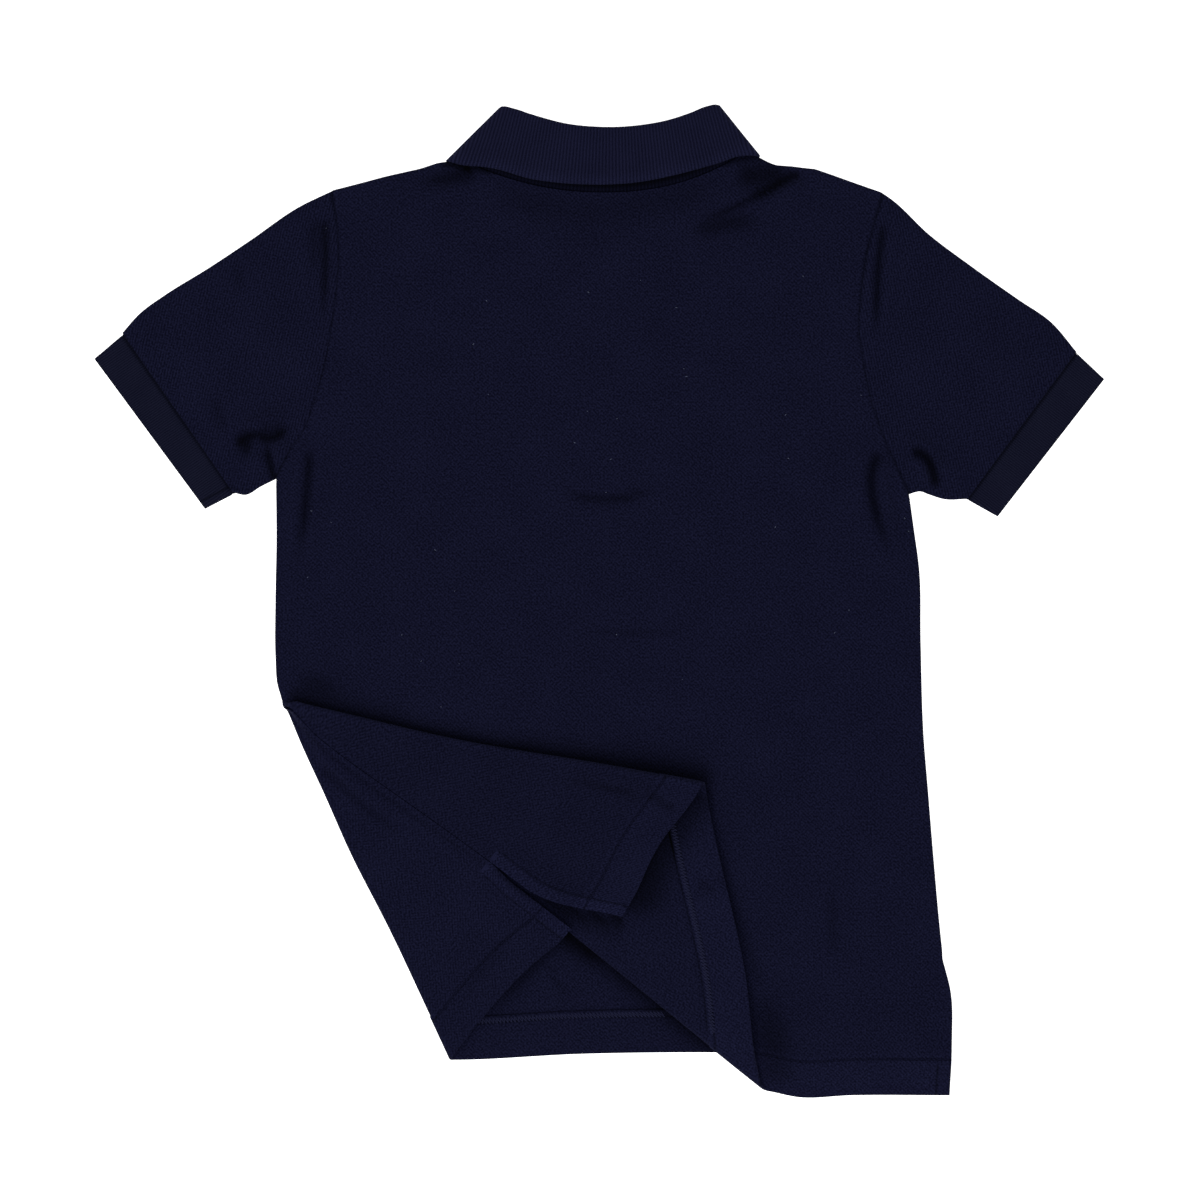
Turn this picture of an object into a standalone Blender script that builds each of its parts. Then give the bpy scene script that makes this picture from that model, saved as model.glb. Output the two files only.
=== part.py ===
"""A child's polo shirt lying flat, its back uppermost, one bottom corner drawn up and over.

The shirt is built as it is sewn: back, front, two sleeves, two rib cuffs, a rib collar, two placket
strips and two buttons. Every cloth piece is an open surface with a Solidify wall. The surfaces are
worked out from the flat cut. The corner is folded by one rule: each point of the cut keeps its
distance from the apex, on the left side seam, and its arc round the apex runs along a section with
three rolled folds.

Lengths in the tables are millimetres. +X is the wearer's right, +Y runs from hem to collar and +Z
is up from the surface that the shirt lies on.
"""

import math

import bmesh
import bpy
import numpy as np

MM = 0.001
NAME = "polo_shirt"

# --- cloth
WALL = 1.0                # pique, one ply
TURN_UP = 0.8             # what a second ply adds at a hem
RIB_WALL = 1.4            # collar
CUFF_WALL = 1.2
LAYER_GAP = 0.8           # between cloth that lies on cloth
SEAM_GAP = 0.3            # between pieces at a seam
PITCH = WALL + LAYER_GAP  # front to back, wall centre to wall centre
EDGE_ROLL = 0.9           # radius at which the two layers turn into a side edge

# --- front opening
CENTRE_X = 4.5
PLACKET_HALF = 15.0
BUTTON_RADIUS = 5.5
BUTTON_THICK = 2.2
BUTTON_HOLE = 0.9
BUTTON_HOLE_RING = 1.5
BUTTON_Y = {"button_upper": 160.0, "button_lower": 105.0}

# --- cut lines, seen from above with the shirt flat: (x, y) rows
ARMHOLE_LEFT = (
    (-149.5, 229.9), (-147.2, 214.9), (-146.0, 191.8), (-148.5, 166.0), (-153.9, 133.4),
    (-159.4, 113.1), (-166.2, 95.4), (-174.3, 83.7), (-180.6, 69.5),
)
ARMHOLE_RIGHT = (
    (158.4, 228.8), (154.4, 212.5), (149.5, 190.1), (146.7, 169.2), (145.8, 155.3),
    (148.8, 131.7), (153.7, 109.4), (160.7, 89.9), (166.9, 75.9), (173.2, 61.0),
)
SHOULDER_LEFT = ((-149.5, 229.9), (-119.3, 237.7), (-99.1, 242.6), (-91.0, 244.0), (-74.5, 243.0))
SHOULDER_RIGHT = (
    (80.0, 247.2), (92.0, 245.2), (101.4, 243.3), (119.3, 241.4), (137.2, 236.2), (158.4, 228.8),
)
NECK_LEFT = SHOULDER_LEFT[-1]
NECK_RIGHT = SHOULDER_RIGHT[0]
NECK_BACK_Y = 229.0
NECK_FRONT_Y = 179.5
NECK_BACK_POWER = 2.2
NECK_FRONT_POWER = 2.6

APEX = (-176.4, -55.2)    # where the side seam meets the three folds
SIDE_LEFT = ((-180.6, 69.5), (-180.3, 34.4), (-180.9, 0.8), (-180.6, -32.8), APEX)
SIDE_RIGHT = (
    (173.2, 61.0), (175.8, 42.0), (179.0, 18.0), (179.8, -21.6), (181.6, -77.6),
    (183.8, -104.4), (187.4, -148.1), (190.6, -183.4), (192.4, -200.0),
)
VENT_BACK = ((192.4, -200.0), (197.1, -218.7), (197.7, -247.2), (196.6, -276.9))
VENT_FRONT = ((192.4, -200.0), (194.0, -226.0), (194.5, -256.6))
HEM_BACK = (
    (196.6, -276.9), (140.6, -276.9), (112.6, -278.0), (92.0, -274.0), (22.0, -277.0),
    (-66.0, -275.0), (-110.0, -270.6), (-168.8, -279.5),
)
HEM_FRONT = (
    (194.5, -256.6), (65.1, -252.8), (-8.2, -253.6), (-84.0, -257.0), (-120.0, -255.9),
    (-157.0, -257.2), (-178.0, -260.5),
)
HEM_DEEP = 22.0
VENT_FACING = 8.0

# --- the corner drawn over: angles round the apex, from straight down towards +X
FRONT_FOLD = math.radians(24.6)       # the front rolls up and over here
FRONT_FOLD_BOW = math.radians(1.4)    # bowed outwards by this, a third of the way down
FRONT_FOLD_BOW_AT = 85.0
FRONT_FOLD_BOW_RUN = 38.0
BACK_FOLD = math.radians(51.0)        # the back rolls under itself here
FLAP_CUT = math.radians(23.1)         # where the flap's top edge lies on the flat back
FLAP_EDGE = math.radians(78.9)        # and where it lies once drawn over
SEAM_CUT = math.radians(-3.5)
SEAM_LIES = math.radians(52.4)
SEAM_BOW = math.radians(10.0)         # the seam bows down near the apex
SEAM_BOW_RUN = 40.0
VENT_TOP = 147.0
FRONT_ROLL = 2.3
BACK_ROLL = 0.9
BACK_ROLL_HEM = 1.7
FLAP_ROLL = 1.1
FLAP_ROLL_HEM = 2.3
FLAP_REACH = 237.0
ROLL_GROWS = 10.0                     # the rolls open out over this distance from the apex
FOLD_STARTS = 3.0
FOLD_COMPLETE = 26.0
FOLD_HUMP = 4.5                       # the cloth stands up between flat and folded
SEAM_SPREAD = 1.2                     # and its two edges part there
SEAM_LIFT = 0.4                       # the seam lies this far above three layers
HEM_LIFT = 1.2                        # and this much more over the hems
HEMS_MEET = (170.0, 200.0)
FLAP_LIFT = 4.6                       # the flap's top edge above its seam, at the hem

# --- heights
BUTTON_LIFT = 2.5                     # the buttons under the front raise it by this
BUTTON_LIFT_RUN = 30.0                # fading to each side over this
BUTTON_LIFT_Y = (68.0, 100.0, 160.0, 180.0)
COLLAR_LIFT = 1.9                     # and the collar by this
COLLAR_SPREAD = 0.4                   # front and back part by this more beside it
COLLAR_HALF = (98.0, 70.0)
COLLAR_MIDDLE_Y = 216.0
STRIP_Y = (56.0, 63.0, 197.0, 208.0)  # the second strip's thickness under the back
STRIP_RUN = 9.0
FRONT_HEM_Y = (-232.0, -224.0)        # the back rises over the front's turned-up hem
PAST_FRONT_Y = (-274.0, -257.0)       # and comes down past it

# --- sleeves and cuffs: outline rows from armhole to cuff
SLEEVE_LEFT_TOP = (
    (-149.9, 229.9), (-167.4, 221.5), (-195.4, 202.4), (-219.0, 186.8), (-243.0, 172.2),
    (-257.0, 163.2), (-267.2, 150.0),
)
SLEEVE_LEFT_UNDER = ((-181.4, 68.6), (-190.0, 64.2), (-198.0, 59.6), (-204.9, 61.0))
CUFF_LEFT_TOP = ((-267.4, 149.2), (-282.9, 136.1))
CUFF_LEFT_UNDER = ((-204.6, 59.6), (-220.4, 51.4))
SLEEVE_RIGHT_TOP = (
    (158.9, 228.8), (163.0, 226.0), (185.1, 205.5), (207.4, 188.8), (235.2, 169.2),
    (253.3, 156.7), (267.6, 140.0),
)
SLEEVE_RIGHT_UNDER = ((174.0, 60.2), (180.3, 61.6), (185.1, 59.9), (193.4, 57.3), (206.4, 57.4))
CUFF_RIGHT_TOP = ((268.0, 139.0), (283.2, 124.7))
CUFF_RIGHT_UNDER = ((206.8, 56.6), (223.2, 47.4))

# --- collar: stations from one front end, over each shoulder crease, to the other. Columns: seam x;
# fold x, y; edge x, y; turn in degrees, -90 under the shirt and 90 on its back.
COLLAR_ROWS = (
    (3.0, 1.5, 203.0, -32.0, 156.0, -90),
    (-10.5, -9.5, 204.6, -43.0, 159.0, -90),
    (-23.3, -20.0, 209.0, -54.0, 166.0, -90),
    (-36.1, -29.0, 215.5, -65.0, 177.0, -90),
    (-48.9, -37.0, 226.0, -74.0, 193.0, -90),
    (-61.7, -44.0, 243.0, -81.5, 215.0, -90),
    (-74.5, -49.5, 268.0, -83.6, 239.0, -90),
    (-74.5, -51.4, 275.0, -83.6, 244.2, -45),
    (-74.5, -51.2, 275.3, -83.3, 244.7, 0),
    (-74.5, -50.6, 275.4, -82.2, 244.8, 45),
    (-74.5, -48.8, 275.2, -79.0, 244.6, 90),
    (-61.7, -39.0, 272.4, -62.0, 242.7, 90),
    (-36.1, -19.0, 267.0, -36.0, 235.9, 90),
    (-10.5, -3.0, 265.2, -12.0, 233.4, 90),
    (19.5, 17.0, 265.4, 18.0, 234.0, 90),
    (43.7, 36.0, 268.2, 42.0, 238.4, 90),
    (67.9, 51.0, 272.8, 66.0, 244.8, 90),
    (80.0, 62.2, 276.2, 82.6, 249.2, 90),
    (80.0, 64.2, 275.9, 86.4, 247.8, 45),
    (80.0, 65.0, 275.4, 87.6, 247.4, 0),
    (80.0, 65.2, 274.9, 87.8, 247.0, -45),
    (80.0, 64.0, 268.0, 88.4, 241.0, -90),
    (67.9, 56.0, 243.0, 89.0, 215.0, -90),
    (55.8, 47.0, 226.0, 83.0, 193.0, -90),
    (43.7, 39.0, 215.5, 74.0, 177.0, -90),
    (31.6, 29.5, 209.0, 63.0, 166.0, -90),
    (19.5, 18.5, 204.6, 52.0, 159.0, -90),
    (6.0, 7.5, 203.0, 41.0, 156.0, -90),
)
COLLAR_FOLD_ROLL = 0.85
COLLAR_MIDDLE = 3.5       # height about which the collar's layers turn
STAND_TURN = 1.1
NECK_GAP = 0.6
CREASE_GAP = 1.5          # the stand stops short of the shoulder seams' rolled ends

# --- colours (linear)
NAVY = (0.006, 0.007, 0.030, 1.0)
NAVY_RIB = (0.004, 0.005, 0.020, 1.0)
BUTTON_NAVY = (0.008, 0.009, 0.022, 1.0)


def smooth(low, high, value):
    """0 below low, 1 above high, and a smooth step between them."""
    f = np.clip((value - low) / (high - low), 0.0, 1.0)
    return f * f * (3.0 - 2.0 * f)


def through(rows, at):
    """Points at fractions of the chord length of a smooth curve through the rows."""
    rows = np.asarray(rows, float)
    run = np.concatenate(([0.0], np.cumsum(np.linalg.norm(np.diff(rows, axis=0), axis=1))))
    slope = np.gradient(rows, run, axis=0)
    want = np.clip(np.asarray(at, float), 0.0, 1.0) * run[-1]
    k = np.clip(np.searchsorted(run, want, side="right") - 1, 0, len(run) - 2)
    span = (run[k + 1] - run[k])[..., None]
    f = (want - run[k])[..., None] / span
    return (
        (2 * f**3 - 3 * f**2 + 1) * rows[k]
        + (f**3 - 2 * f**2 + f) * span * slope[k]
        + (3 * f**2 - 2 * f**3) * rows[k + 1]
        + (f**3 - f**2) * span * slope[k + 1]
    )


def polar(x, y):
    """Distance from the apex, and the angle round it from straight down towards +X."""
    dx = x - APEX[0]
    dy = y - APEX[1]
    angle = np.arctan2(dx, -dy)
    angle = np.where(angle < -math.pi / 2.0, angle + 2.0 * math.pi, angle)
    return np.maximum(np.hypot(dx, dy), 1e-6), angle


def from_polar(distance, angle):
    """Plan point at a distance from the apex and an angle round it."""
    return APEX[0] + distance * np.sin(angle), APEX[1] - distance * np.cos(angle)


def hem_reach(hem, angle):
    """Distance from the apex to a hem line at an angle."""
    line = through(hem, np.linspace(0.0, 1.0, 400))
    reach, at = polar(line[:, 0], line[:, 1])
    order = np.argsort(at)
    return np.interp(angle, at[order], reach[order])


def corner_angle(hem):
    """Angle round the apex of the corner where a hem meets its vent."""
    return float(polar(np.array(hem[0][0]), np.array(hem[0][1]))[1])


def hem_ply(hem, x, y):
    """1 where the hem is turned up, 0 above it."""
    line = through(hem, np.linspace(0.0, 1.0, 200))
    order = np.argsort(line[:, 0])
    above = y - np.interp(x, line[order, 0], line[order, 1])
    return 1.0 - smooth(HEM_DEEP - 1.0, HEM_DEEP + 1.0, above)


# ---------------------------------------------------------------- heights of the flat layers


def front_lift(x, y):
    """How far the buttons and the collar under the front lift it off the surface."""
    edge = PLACKET_HALF + 2.0
    side = 1.0 - smooth(edge, edge + BUTTON_LIFT_RUN, np.abs(x - CENTRE_X))
    low, full, fade, top = BUTTON_LIFT_Y
    length = smooth(low, full, y) * (1.0 - smooth(fade, top, y))
    buttons = BUTTON_LIFT * side * length
    collar = COLLAR_LIFT * near_collar(x, y)
    return (buttons**4 + collar**4) ** 0.25


def near_collar(x, y):
    """1 where the collar's layers lie, 0 well away from them."""
    ring = np.hypot((x - CENTRE_X) / COLLAR_HALF[0], (y - COLLAR_MIDDLE_Y) / COLLAR_HALF[1])
    return 1.0 - smooth(1.14, 1.5, ring)


def front_level(x, y):
    """Height of the flat front's wall centre."""
    return front_lift(x, y) + (WALL + TURN_UP * hem_ply(HEM_FRONT, x, y)) / 2.0


def back_level(x, y):
    """Height of the flat back's wall centre: over the front, and down past the front's hem."""
    side = 1.0 - smooth(PLACKET_HALF, PLACKET_HALF + STRIP_RUN, np.abs(x - CENTRE_X))
    low, full, fade, top = STRIP_Y
    strip = PITCH * side * smooth(low, full, y) * (1.0 - smooth(fade, top, y))
    lifted = front_lift(x, y) + WALL + strip + COLLAR_SPREAD * near_collar(x, y)
    lifted = lifted + TURN_UP * (1.0 - smooth(*FRONT_HEM_Y, y))
    covered = smooth(*PAST_FRONT_Y, y)
    ply = WALL + TURN_UP * hem_ply(HEM_BACK, x, y)
    return covered * (lifted + LAYER_GAP) + ply / 2.0


# ---------------------------------------------------------------- the fold


def roll(full, distance):
    """A roll's radius, which grows from nothing at the apex to its full size."""
    return full * np.tanh(distance / ROLL_GROWS)


def seam_lies(distance, side):
    """Angle at which the side seam lies on the flap; below the vent the two edges part."""
    bow = SEAM_BOW * np.exp(-np.maximum(distance - 25.0, 0.0) / SEAM_BOW_RUN)
    past = np.maximum(distance - VENT_TOP, 0.0)
    parted = math.radians(5.3) * (past / 78.0) if side > 0 else -math.radians(2.4) * (past / 59.0)
    return SEAM_LIES - bow + parted


def seam_half_gap(distance):
    """Half the distance between the two panels' edges at the side seam."""
    over = drawn_over(distance)
    return SEAM_GAP / 2.0 + SEAM_SPREAD * 4.0 * over * (1.0 - over)


def seam_height(distance):
    """Height of the seam where it lies on the flap; higher over the turned-up hems."""
    hem = smooth(*HEMS_MEET, distance)
    return PITCH * 3.0 + WALL / 2.0 + SEAM_LIFT + HEM_LIFT * hem


def back_rolls(distance):
    """Radii of the back's two rolls, and where on the arc they begin and end."""
    far = np.clip(distance / FLAP_REACH, 0.0, 1.5)
    under = roll(BACK_ROLL + (BACK_ROLL_HEM - BACK_ROLL) * smooth(0.8, 1.3, far), distance)
    flap = roll(FLAP_ROLL + (FLAP_ROLL_HEM - FLAP_ROLL) * np.minimum(far, 1.0), distance)
    stops = {
        "corner": distance * corner_angle(HEM_BACK),
        "under_in": distance * BACK_FOLD + under,
        "under_out": distance * BACK_FOLD + under - math.pi * under,
        "flap_in": distance * FLAP_CUT + math.pi * flap / 2.0,
        "flap_out": distance * FLAP_CUT - math.pi * flap / 2.0,
        "seam": distance * SEAM_CUT,
    }
    return under, flap, stops


def front_fold(distance):
    """Angle of the front's fold, which bows outwards."""
    return FRONT_FOLD - FRONT_FOLD_BOW * np.exp(
        -((distance - FRONT_FOLD_BOW_AT) / FRONT_FOLD_BOW_RUN) ** 2)


def front_rolls(distance):
    """Radius of the front's roll, and where on the arc it begins and ends."""
    over = roll(FRONT_ROLL, distance * 0.5)
    start = distance * front_fold(distance) + over + roll(WALL / 2.0, distance)
    stops = {
        "corner": distance * corner_angle(HEM_FRONT),
        "over_in": start,
        "over_out": start - math.pi * over,
        "seam": distance * SEAM_CUT,
    }
    return over, stops


def drawn_over(distance):
    """0 at the apex, where the cloth still lies flat, 1 where the corner is fully over."""
    return smooth(FOLD_STARTS, FOLD_COMPLETE, distance)


def lay_back(x, y):
    """Place points of the flat back: left flat, rolled under at the back fold, or on the flap."""
    distance, angle = polar(x, y)
    arc = distance * angle
    under, flap, stops = back_rolls(distance)
    edge = distance * FLAP_EDGE - flap
    seam = distance * seam_lies(distance, 1) + seam_half_gap(distance)
    foot = back_level(*from_polar(distance, np.full_like(distance, BACK_FOLD)))
    hem = np.clip(distance / FLAP_REACH, 0.0, 1.0)
    top = seam_height(distance) + FLAP_LIFT * hem**1.5
    inside = np.maximum(top - 2.0 * flap, foot + 2.0 * under)

    turn = np.clip((stops["under_in"] - arc) / under, 0.0, math.pi)
    along = np.where(arc > stops["under_in"], arc, stops["under_in"] - under * np.sin(turn))
    height = foot + under * (1.0 - np.cos(turn))

    leg = np.clip((stops["under_out"] - arc) / (stops["under_out"] - stops["flap_in"]), 0.0, 1.0)
    on_leg = (arc < stops["under_out"]) & (arc >= stops["flap_in"])
    along = np.where(on_leg, stops["under_in"] + leg * (edge - stops["under_in"]), along)
    beneath = back_level(*from_polar(distance, along / distance)) + 2.0 * under
    height = np.where(on_leg, beneath + (np.maximum(inside, beneath) - beneath) * leg, height)

    turn = np.clip((stops["flap_in"] - arc) / flap, 0.0, math.pi)
    on_roll = (arc < stops["flap_in"]) & (arc >= stops["flap_out"])
    along = np.where(on_roll, edge + flap * np.sin(turn), along)
    height = np.where(on_roll, inside + (top - inside) * (1.0 - np.cos(turn)) / 2.0, height)

    leg = np.clip((stops["flap_out"] - arc) / (stops["flap_out"] - stops["seam"]), 0.0, 1.0)
    on_flap = arc < stops["flap_out"]
    along = np.where(on_flap, edge + leg * (seam - edge), along)
    ease = leg * leg * (3.0 - 2.0 * leg)
    height = np.where(on_flap, top + (seam_height(distance) - top) * ease, height)

    flat = back_level(x, y)
    share = np.clip((stops["under_in"] - arc) / (stops["under_in"] - stops["flap_in"]), 0.0, 1.0)
    return mix_fold(x, y, flat, distance, along, height, share, arc < stops["under_in"])


def lay_front(x, y):
    """Place points of the flat front: left flat, or rolled up and over at the front fold."""
    distance, angle = polar(x, y)
    arc = distance * angle
    over, stops = front_rolls(distance)
    seam = distance * seam_lies(distance, -1) - seam_half_gap(distance)
    foot = front_level(*from_polar(distance, front_fold(distance)))

    turn = np.clip((stops["over_in"] - arc) / over, 0.0, math.pi)
    along = stops["over_in"] - over * np.sin(turn)
    height = foot + over * (1.0 - np.cos(turn))

    leg = np.clip((stops["over_out"] - arc) / (stops["over_out"] - stops["seam"]), 0.0, 1.0)
    on_flap = arc < stops["over_out"]
    along = np.where(on_flap, stops["over_in"] + leg * (seam - stops["over_in"]), along)
    ease = leg * leg * (3.0 - 2.0 * leg)
    lift = (seam_height(distance) - foot - 2.0 * over) * ease
    height = np.where(on_flap, foot + 2.0 * over + lift, height)

    flat = front_level(x, y)
    share = np.clip((stops["over_in"] - arc) / (stops["over_in"] - stops["seam"]), 0.0, 1.0)
    return mix_fold(x, y, flat, distance, along, height, share, arc < stops["over_in"])


def mix_fold(x, y, flat, distance, along, height, share, folded):
    """Blend the flat place into the folded one as the fold opens out from the apex."""
    over = drawn_over(distance)
    fold_x, fold_y = from_polar(distance, along / np.maximum(distance, 1e-6))
    hump = FOLD_HUMP * 4.0 * over * (1.0 - over) * share
    place = np.stack(
        (
            x + over * (fold_x - x),
            y + over * (fold_y - y),
            flat + over * (height - flat) + hump,
        ),
        axis=-1,
    )
    still = np.stack((x, y, flat), axis=-1)
    return np.where(folded[..., None], place, still)


# ---------------------------------------------------------------- the body panels as grids

CHEST_DOWN = np.array((0.0, 0.0003, 0.0021, 0.0053, 0.06, 0.2, 0.36, 0.52, 0.68, 0.84, 1.0))
SIDE_IN = np.array((0.0, 0.05, 0.35, 0.9))      # how a side edge turns: distance in from the edge
SIDE_DROP = np.array((0.56, 0.34, 0.08, 0.0))   # and distance towards the other panel
OPEN_IN = np.array((0.0, 0.3, 0.6, 0.9))        # a plain edge, at an armhole
ROWS_CHEST = len(CHEST_DOWN) - 1
ROWS_WAIST = 5
COLUMNS = 19
NECK_COLUMNS = (4, 15)
SLOT_COLUMNS = (9, 10)
SLOT_X = (CENTRE_X - PLACKET_HALF, CENTRE_X + PLACKET_HALF)


def neck_line(x, low, power):
    """Height on the page of a neck edge: low in the middle, rising to the shoulders by a power."""
    middle = (NECK_LEFT[0] + NECK_RIGHT[0]) / 2.0
    half = (NECK_RIGHT[0] - NECK_LEFT[0]) / 2.0
    across = np.abs((x - middle) / half)
    ends = np.interp(x, (NECK_LEFT[0], NECK_RIGHT[0]), (NECK_LEFT[1], NECK_RIGHT[1]))
    return low + (ends - low) * across**power


def top_columns():
    """Where the panels' columns start along the shoulders and the neck."""
    return np.interp(
        np.arange(COLUMNS + 1),
        (0, NECK_COLUMNS[0], SLOT_COLUMNS[0], SLOT_COLUMNS[1], NECK_COLUMNS[1], COLUMNS),
        (ARMHOLE_LEFT[0][0], NECK_LEFT[0], *SLOT_X, NECK_RIGHT[0], ARMHOLE_RIGHT[0][0]),
    )


def chest_grid(neck_low, neck_power):
    """Plan points from the shoulders and neck down to the armpits, with even columns."""
    across = np.linspace(0.0, 1.0, COLUMNS + 1)
    bottom = np.linspace(ARMHOLE_LEFT[-1], ARMHOLE_RIGHT[-1], COLUMNS + 1)
    slot = SLOT_X
    width = bottom[-1, 0] - bottom[0, 0]
    across = np.interp(
        np.arange(COLUMNS + 1),
        (0, SLOT_COLUMNS[0], SLOT_COLUMNS[1], COLUMNS),
        (0.0, (slot[0] - bottom[0, 0]) / width, (slot[1] - bottom[0, 0]) / width, 1.0),
    )
    bottom = bottom[0] + across[:, None] * (bottom[-1] - bottom[0])
    top_x = top_columns()
    shoulder = np.interp(top_x, *np.array(SHOULDER_LEFT + SHOULDER_RIGHT).T)
    inside = (top_x >= NECK_LEFT[0]) & (top_x <= NECK_RIGHT[0])
    top_y = np.where(inside, neck_line(top_x, neck_low, neck_power), shoulder)
    top = np.stack((top_x, top_y), axis=-1)

    left = through(ARMHOLE_LEFT, CHEST_DOWN)
    right = through(ARMHOLE_RIGHT, CHEST_DOWN)
    s = CHEST_DOWN[:, None, None]
    t = across[None, :, None]
    grid = (1 - s) * top + s * bottom
    ends_left = (1 - s[:, 0]) * top[0] + s[:, 0] * bottom[0]
    ends_right = (1 - s[:, 0]) * top[-1] + s[:, 0] * bottom[-1]
    grid = grid + (1 - t) * (left - ends_left)[:, None] + t * (right - ends_right)[:, None]
    for column, x in zip(SLOT_COLUMNS, slot):
        grid[:, column, 0] = x
    return grid, across


def edged(row, near, far):
    """Add the edge columns to a row: distances in from its two ends."""
    start = (row[1] - row[0]) / np.linalg.norm(row[1] - row[0])
    end = (row[-2] - row[-1]) / np.linalg.norm(row[-2] - row[-1])
    head = row[0] + near[:, None] * start
    tail = row[-1] + far[::-1, None] * end
    return np.concatenate((head, row[1:-1], tail))


def body_panel(neck_low, neck_power, vent, hem, stops_of, order):
    """Flat plan of one body panel and its edges' drop towards the other panel.

    order lists the rows that follow the folded section: (from stop, to stop, fractions between).
    """
    chest, across = chest_grid(neck_low, neck_power)
    fan = (np.arange(COLUMNS + 1) / COLUMNS) ** 1.5
    rows = []
    drops = []
    apex_in = np.array((APEX[0] + EDGE_ROLL, APEX[1]))

    shoulder = np.ones(COLUMNS + 7)
    shoulder[NECK_COLUMNS[0] + 3:NECK_COLUMNS[1] + 4] = 0.0
    for i, row in enumerate(chest):
        rows.append(edged(row, OPEN_IN, OPEN_IN))
        drops.append((SIDE_DROP[i] if i < len(SIDE_DROP) else 0.0) * shoulder)

    waist = np.linspace(0.0, 1.0, ROWS_WAIST + 1)[1:-1]
    side_right = through(SIDE_RIGHT, np.linspace(0.0, 1.0, 12))
    for i, f in enumerate(waist):
        left = through(SIDE_LEFT, f)
        right = side_right[i + 1]
        spread = across + f * (fan - across)
        row = left + spread[:, None] * (right - left)
        rows.append(edged(row, SIDE_IN, SIDE_IN))
        drops.append(edge_drop(1.0))
    for right in side_right[ROWS_WAIST:]:
        rows.append(fan_row(apex_in, fan, right, SIDE_IN))
        drops.append(edge_drop(1.0))
    drops[-1] = edge_drop(0.5)
    for right in through(vent, (0.3, 0.75)):
        facing = np.array((0.0, 0.45, 0.9, 1.1)) * VENT_FACING
        rows.append(fan_row(apex_in, fan, right, facing))
        drops.append(edge_drop(0.0))
    hem_in = np.array((0.0, 0.5 * HEM_DEEP, HEM_DEEP - 1.0, HEM_DEEP + 1.0))
    for start, stop, fractions in order:
        for f in fractions:
            rows.append(station_row(hem, hem_in, stops_of, start, stop, f))
            drops.append(edge_drop(0.0))
    return np.array(rows), np.array(drops)


def edge_drop(right):
    """A row's drops: its left end turned in full, its right end by a share."""
    return np.concatenate((SIDE_DROP, np.zeros(COLUMNS - 1), right * SIDE_DROP[::-1]))


def fan_row(apex_in, fan, right, far):
    """A ray from the apex; its first columns are the apex's own edge."""
    row = apex_in + fan[:, None] * (right - apex_in)
    end = (row[-2] - row[-1]) / np.linalg.norm(row[-2] - row[-1])
    tail = row[-1] + far[::-1, None] * end
    keep = np.linspace(0.0, 1.0, COLUMNS + 1)[1:-1] ** 1.5
    inner = apex_in + keep[:, None] * (tail[0] - apex_in)
    head = np.array(APEX) + SIDE_IN[:, None] * np.array((1.0, 0.0))
    return np.concatenate((head, inner, tail))


def station_row(hem, hem_in, stops_of, start, stop, f):
    """A row that keeps to one station of the folded section all the way out to the hem."""
    def angle_at(distance):
        stops = stops_of(distance)
        return ((1.0 - f) * stops[start] + f * stops[stop]) / distance

    reach = np.array(FLAP_REACH)
    for _ in range(12):
        reach = hem_reach(hem, angle_at(reach))
    outer = reach - hem_in[::-1] / np.cos(angle_at(reach))
    keep = np.linspace(0.0, 1.0, COLUMNS + 1)[1:-1] ** 1.5
    distance = np.concatenate((keep * outer[0], outer))
    angle = angle_at(distance)
    x, y = from_polar(distance, angle)
    near = 1.0 - smooth(0.0, 6.0, distance)
    x = x + near * EDGE_ROLL
    head = np.array(APEX) + SIDE_IN[:, None] * np.array((1.0, 0.0))
    return np.concatenate((head, np.stack((x, y), axis=-1)))


def back_surface():
    """The back's wall centre, laid out with its corner rolled under and drawn over, and its ply."""
    order = (
        ("corner", "under_in", (0.0, 0.2, 0.4, 0.6, 0.8, 1.0)),
        ("under_in", "under_out", (0.25, 0.5, 0.75, 1.0)),
        ("under_out", "flap_in", (0.07, 0.25, 0.5, 0.75, 1.0)),
        ("flap_in", "flap_out", (0.25, 0.5, 0.75, 1.0)),
        ("flap_out", "seam", (0.2, 0.4, 0.7, 1.0)),
    )
    flat, drop = body_panel(
        NECK_BACK_Y, NECK_BACK_POWER, VENT_BACK, HEM_BACK, lambda far: back_rolls(far)[2], order)
    x, y = flat[..., 0], flat[..., 1]
    place = lay_back(x, y)
    place[..., 2] -= drop * (back_level(x, y) - front_level(x, y)) / PITCH
    return place, hem_ply(HEM_BACK, x, y)


def front_surface():
    """The front's wall centre, laid out with its corner rolled up and over, and its ply."""
    order = (
        ("corner", "over_in", (0.0, 0.14, 0.29, 0.43, 0.57, 0.71, 0.86, 1.0)),
        ("over_in", "over_out", (0.17, 0.34, 0.5, 0.66, 0.83, 1.0)),
        ("over_out", "seam", (0.2, 0.4, 0.6, 0.8, 1.0)),
    )
    flat, drop = body_panel(
        NECK_FRONT_Y, NECK_FRONT_POWER, VENT_FRONT, HEM_FRONT, lambda far: front_rolls(far)[1], order)
    x, y = flat[..., 0], flat[..., 1]
    place = lay_front(x, y)
    place[..., 2] += drop * (back_level(x, y) - front_level(x, y)) / PITCH
    return place, hem_ply(HEM_FRONT, x, y)


# ---------------------------------------------------------------- flattened tubes and the collar


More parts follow.
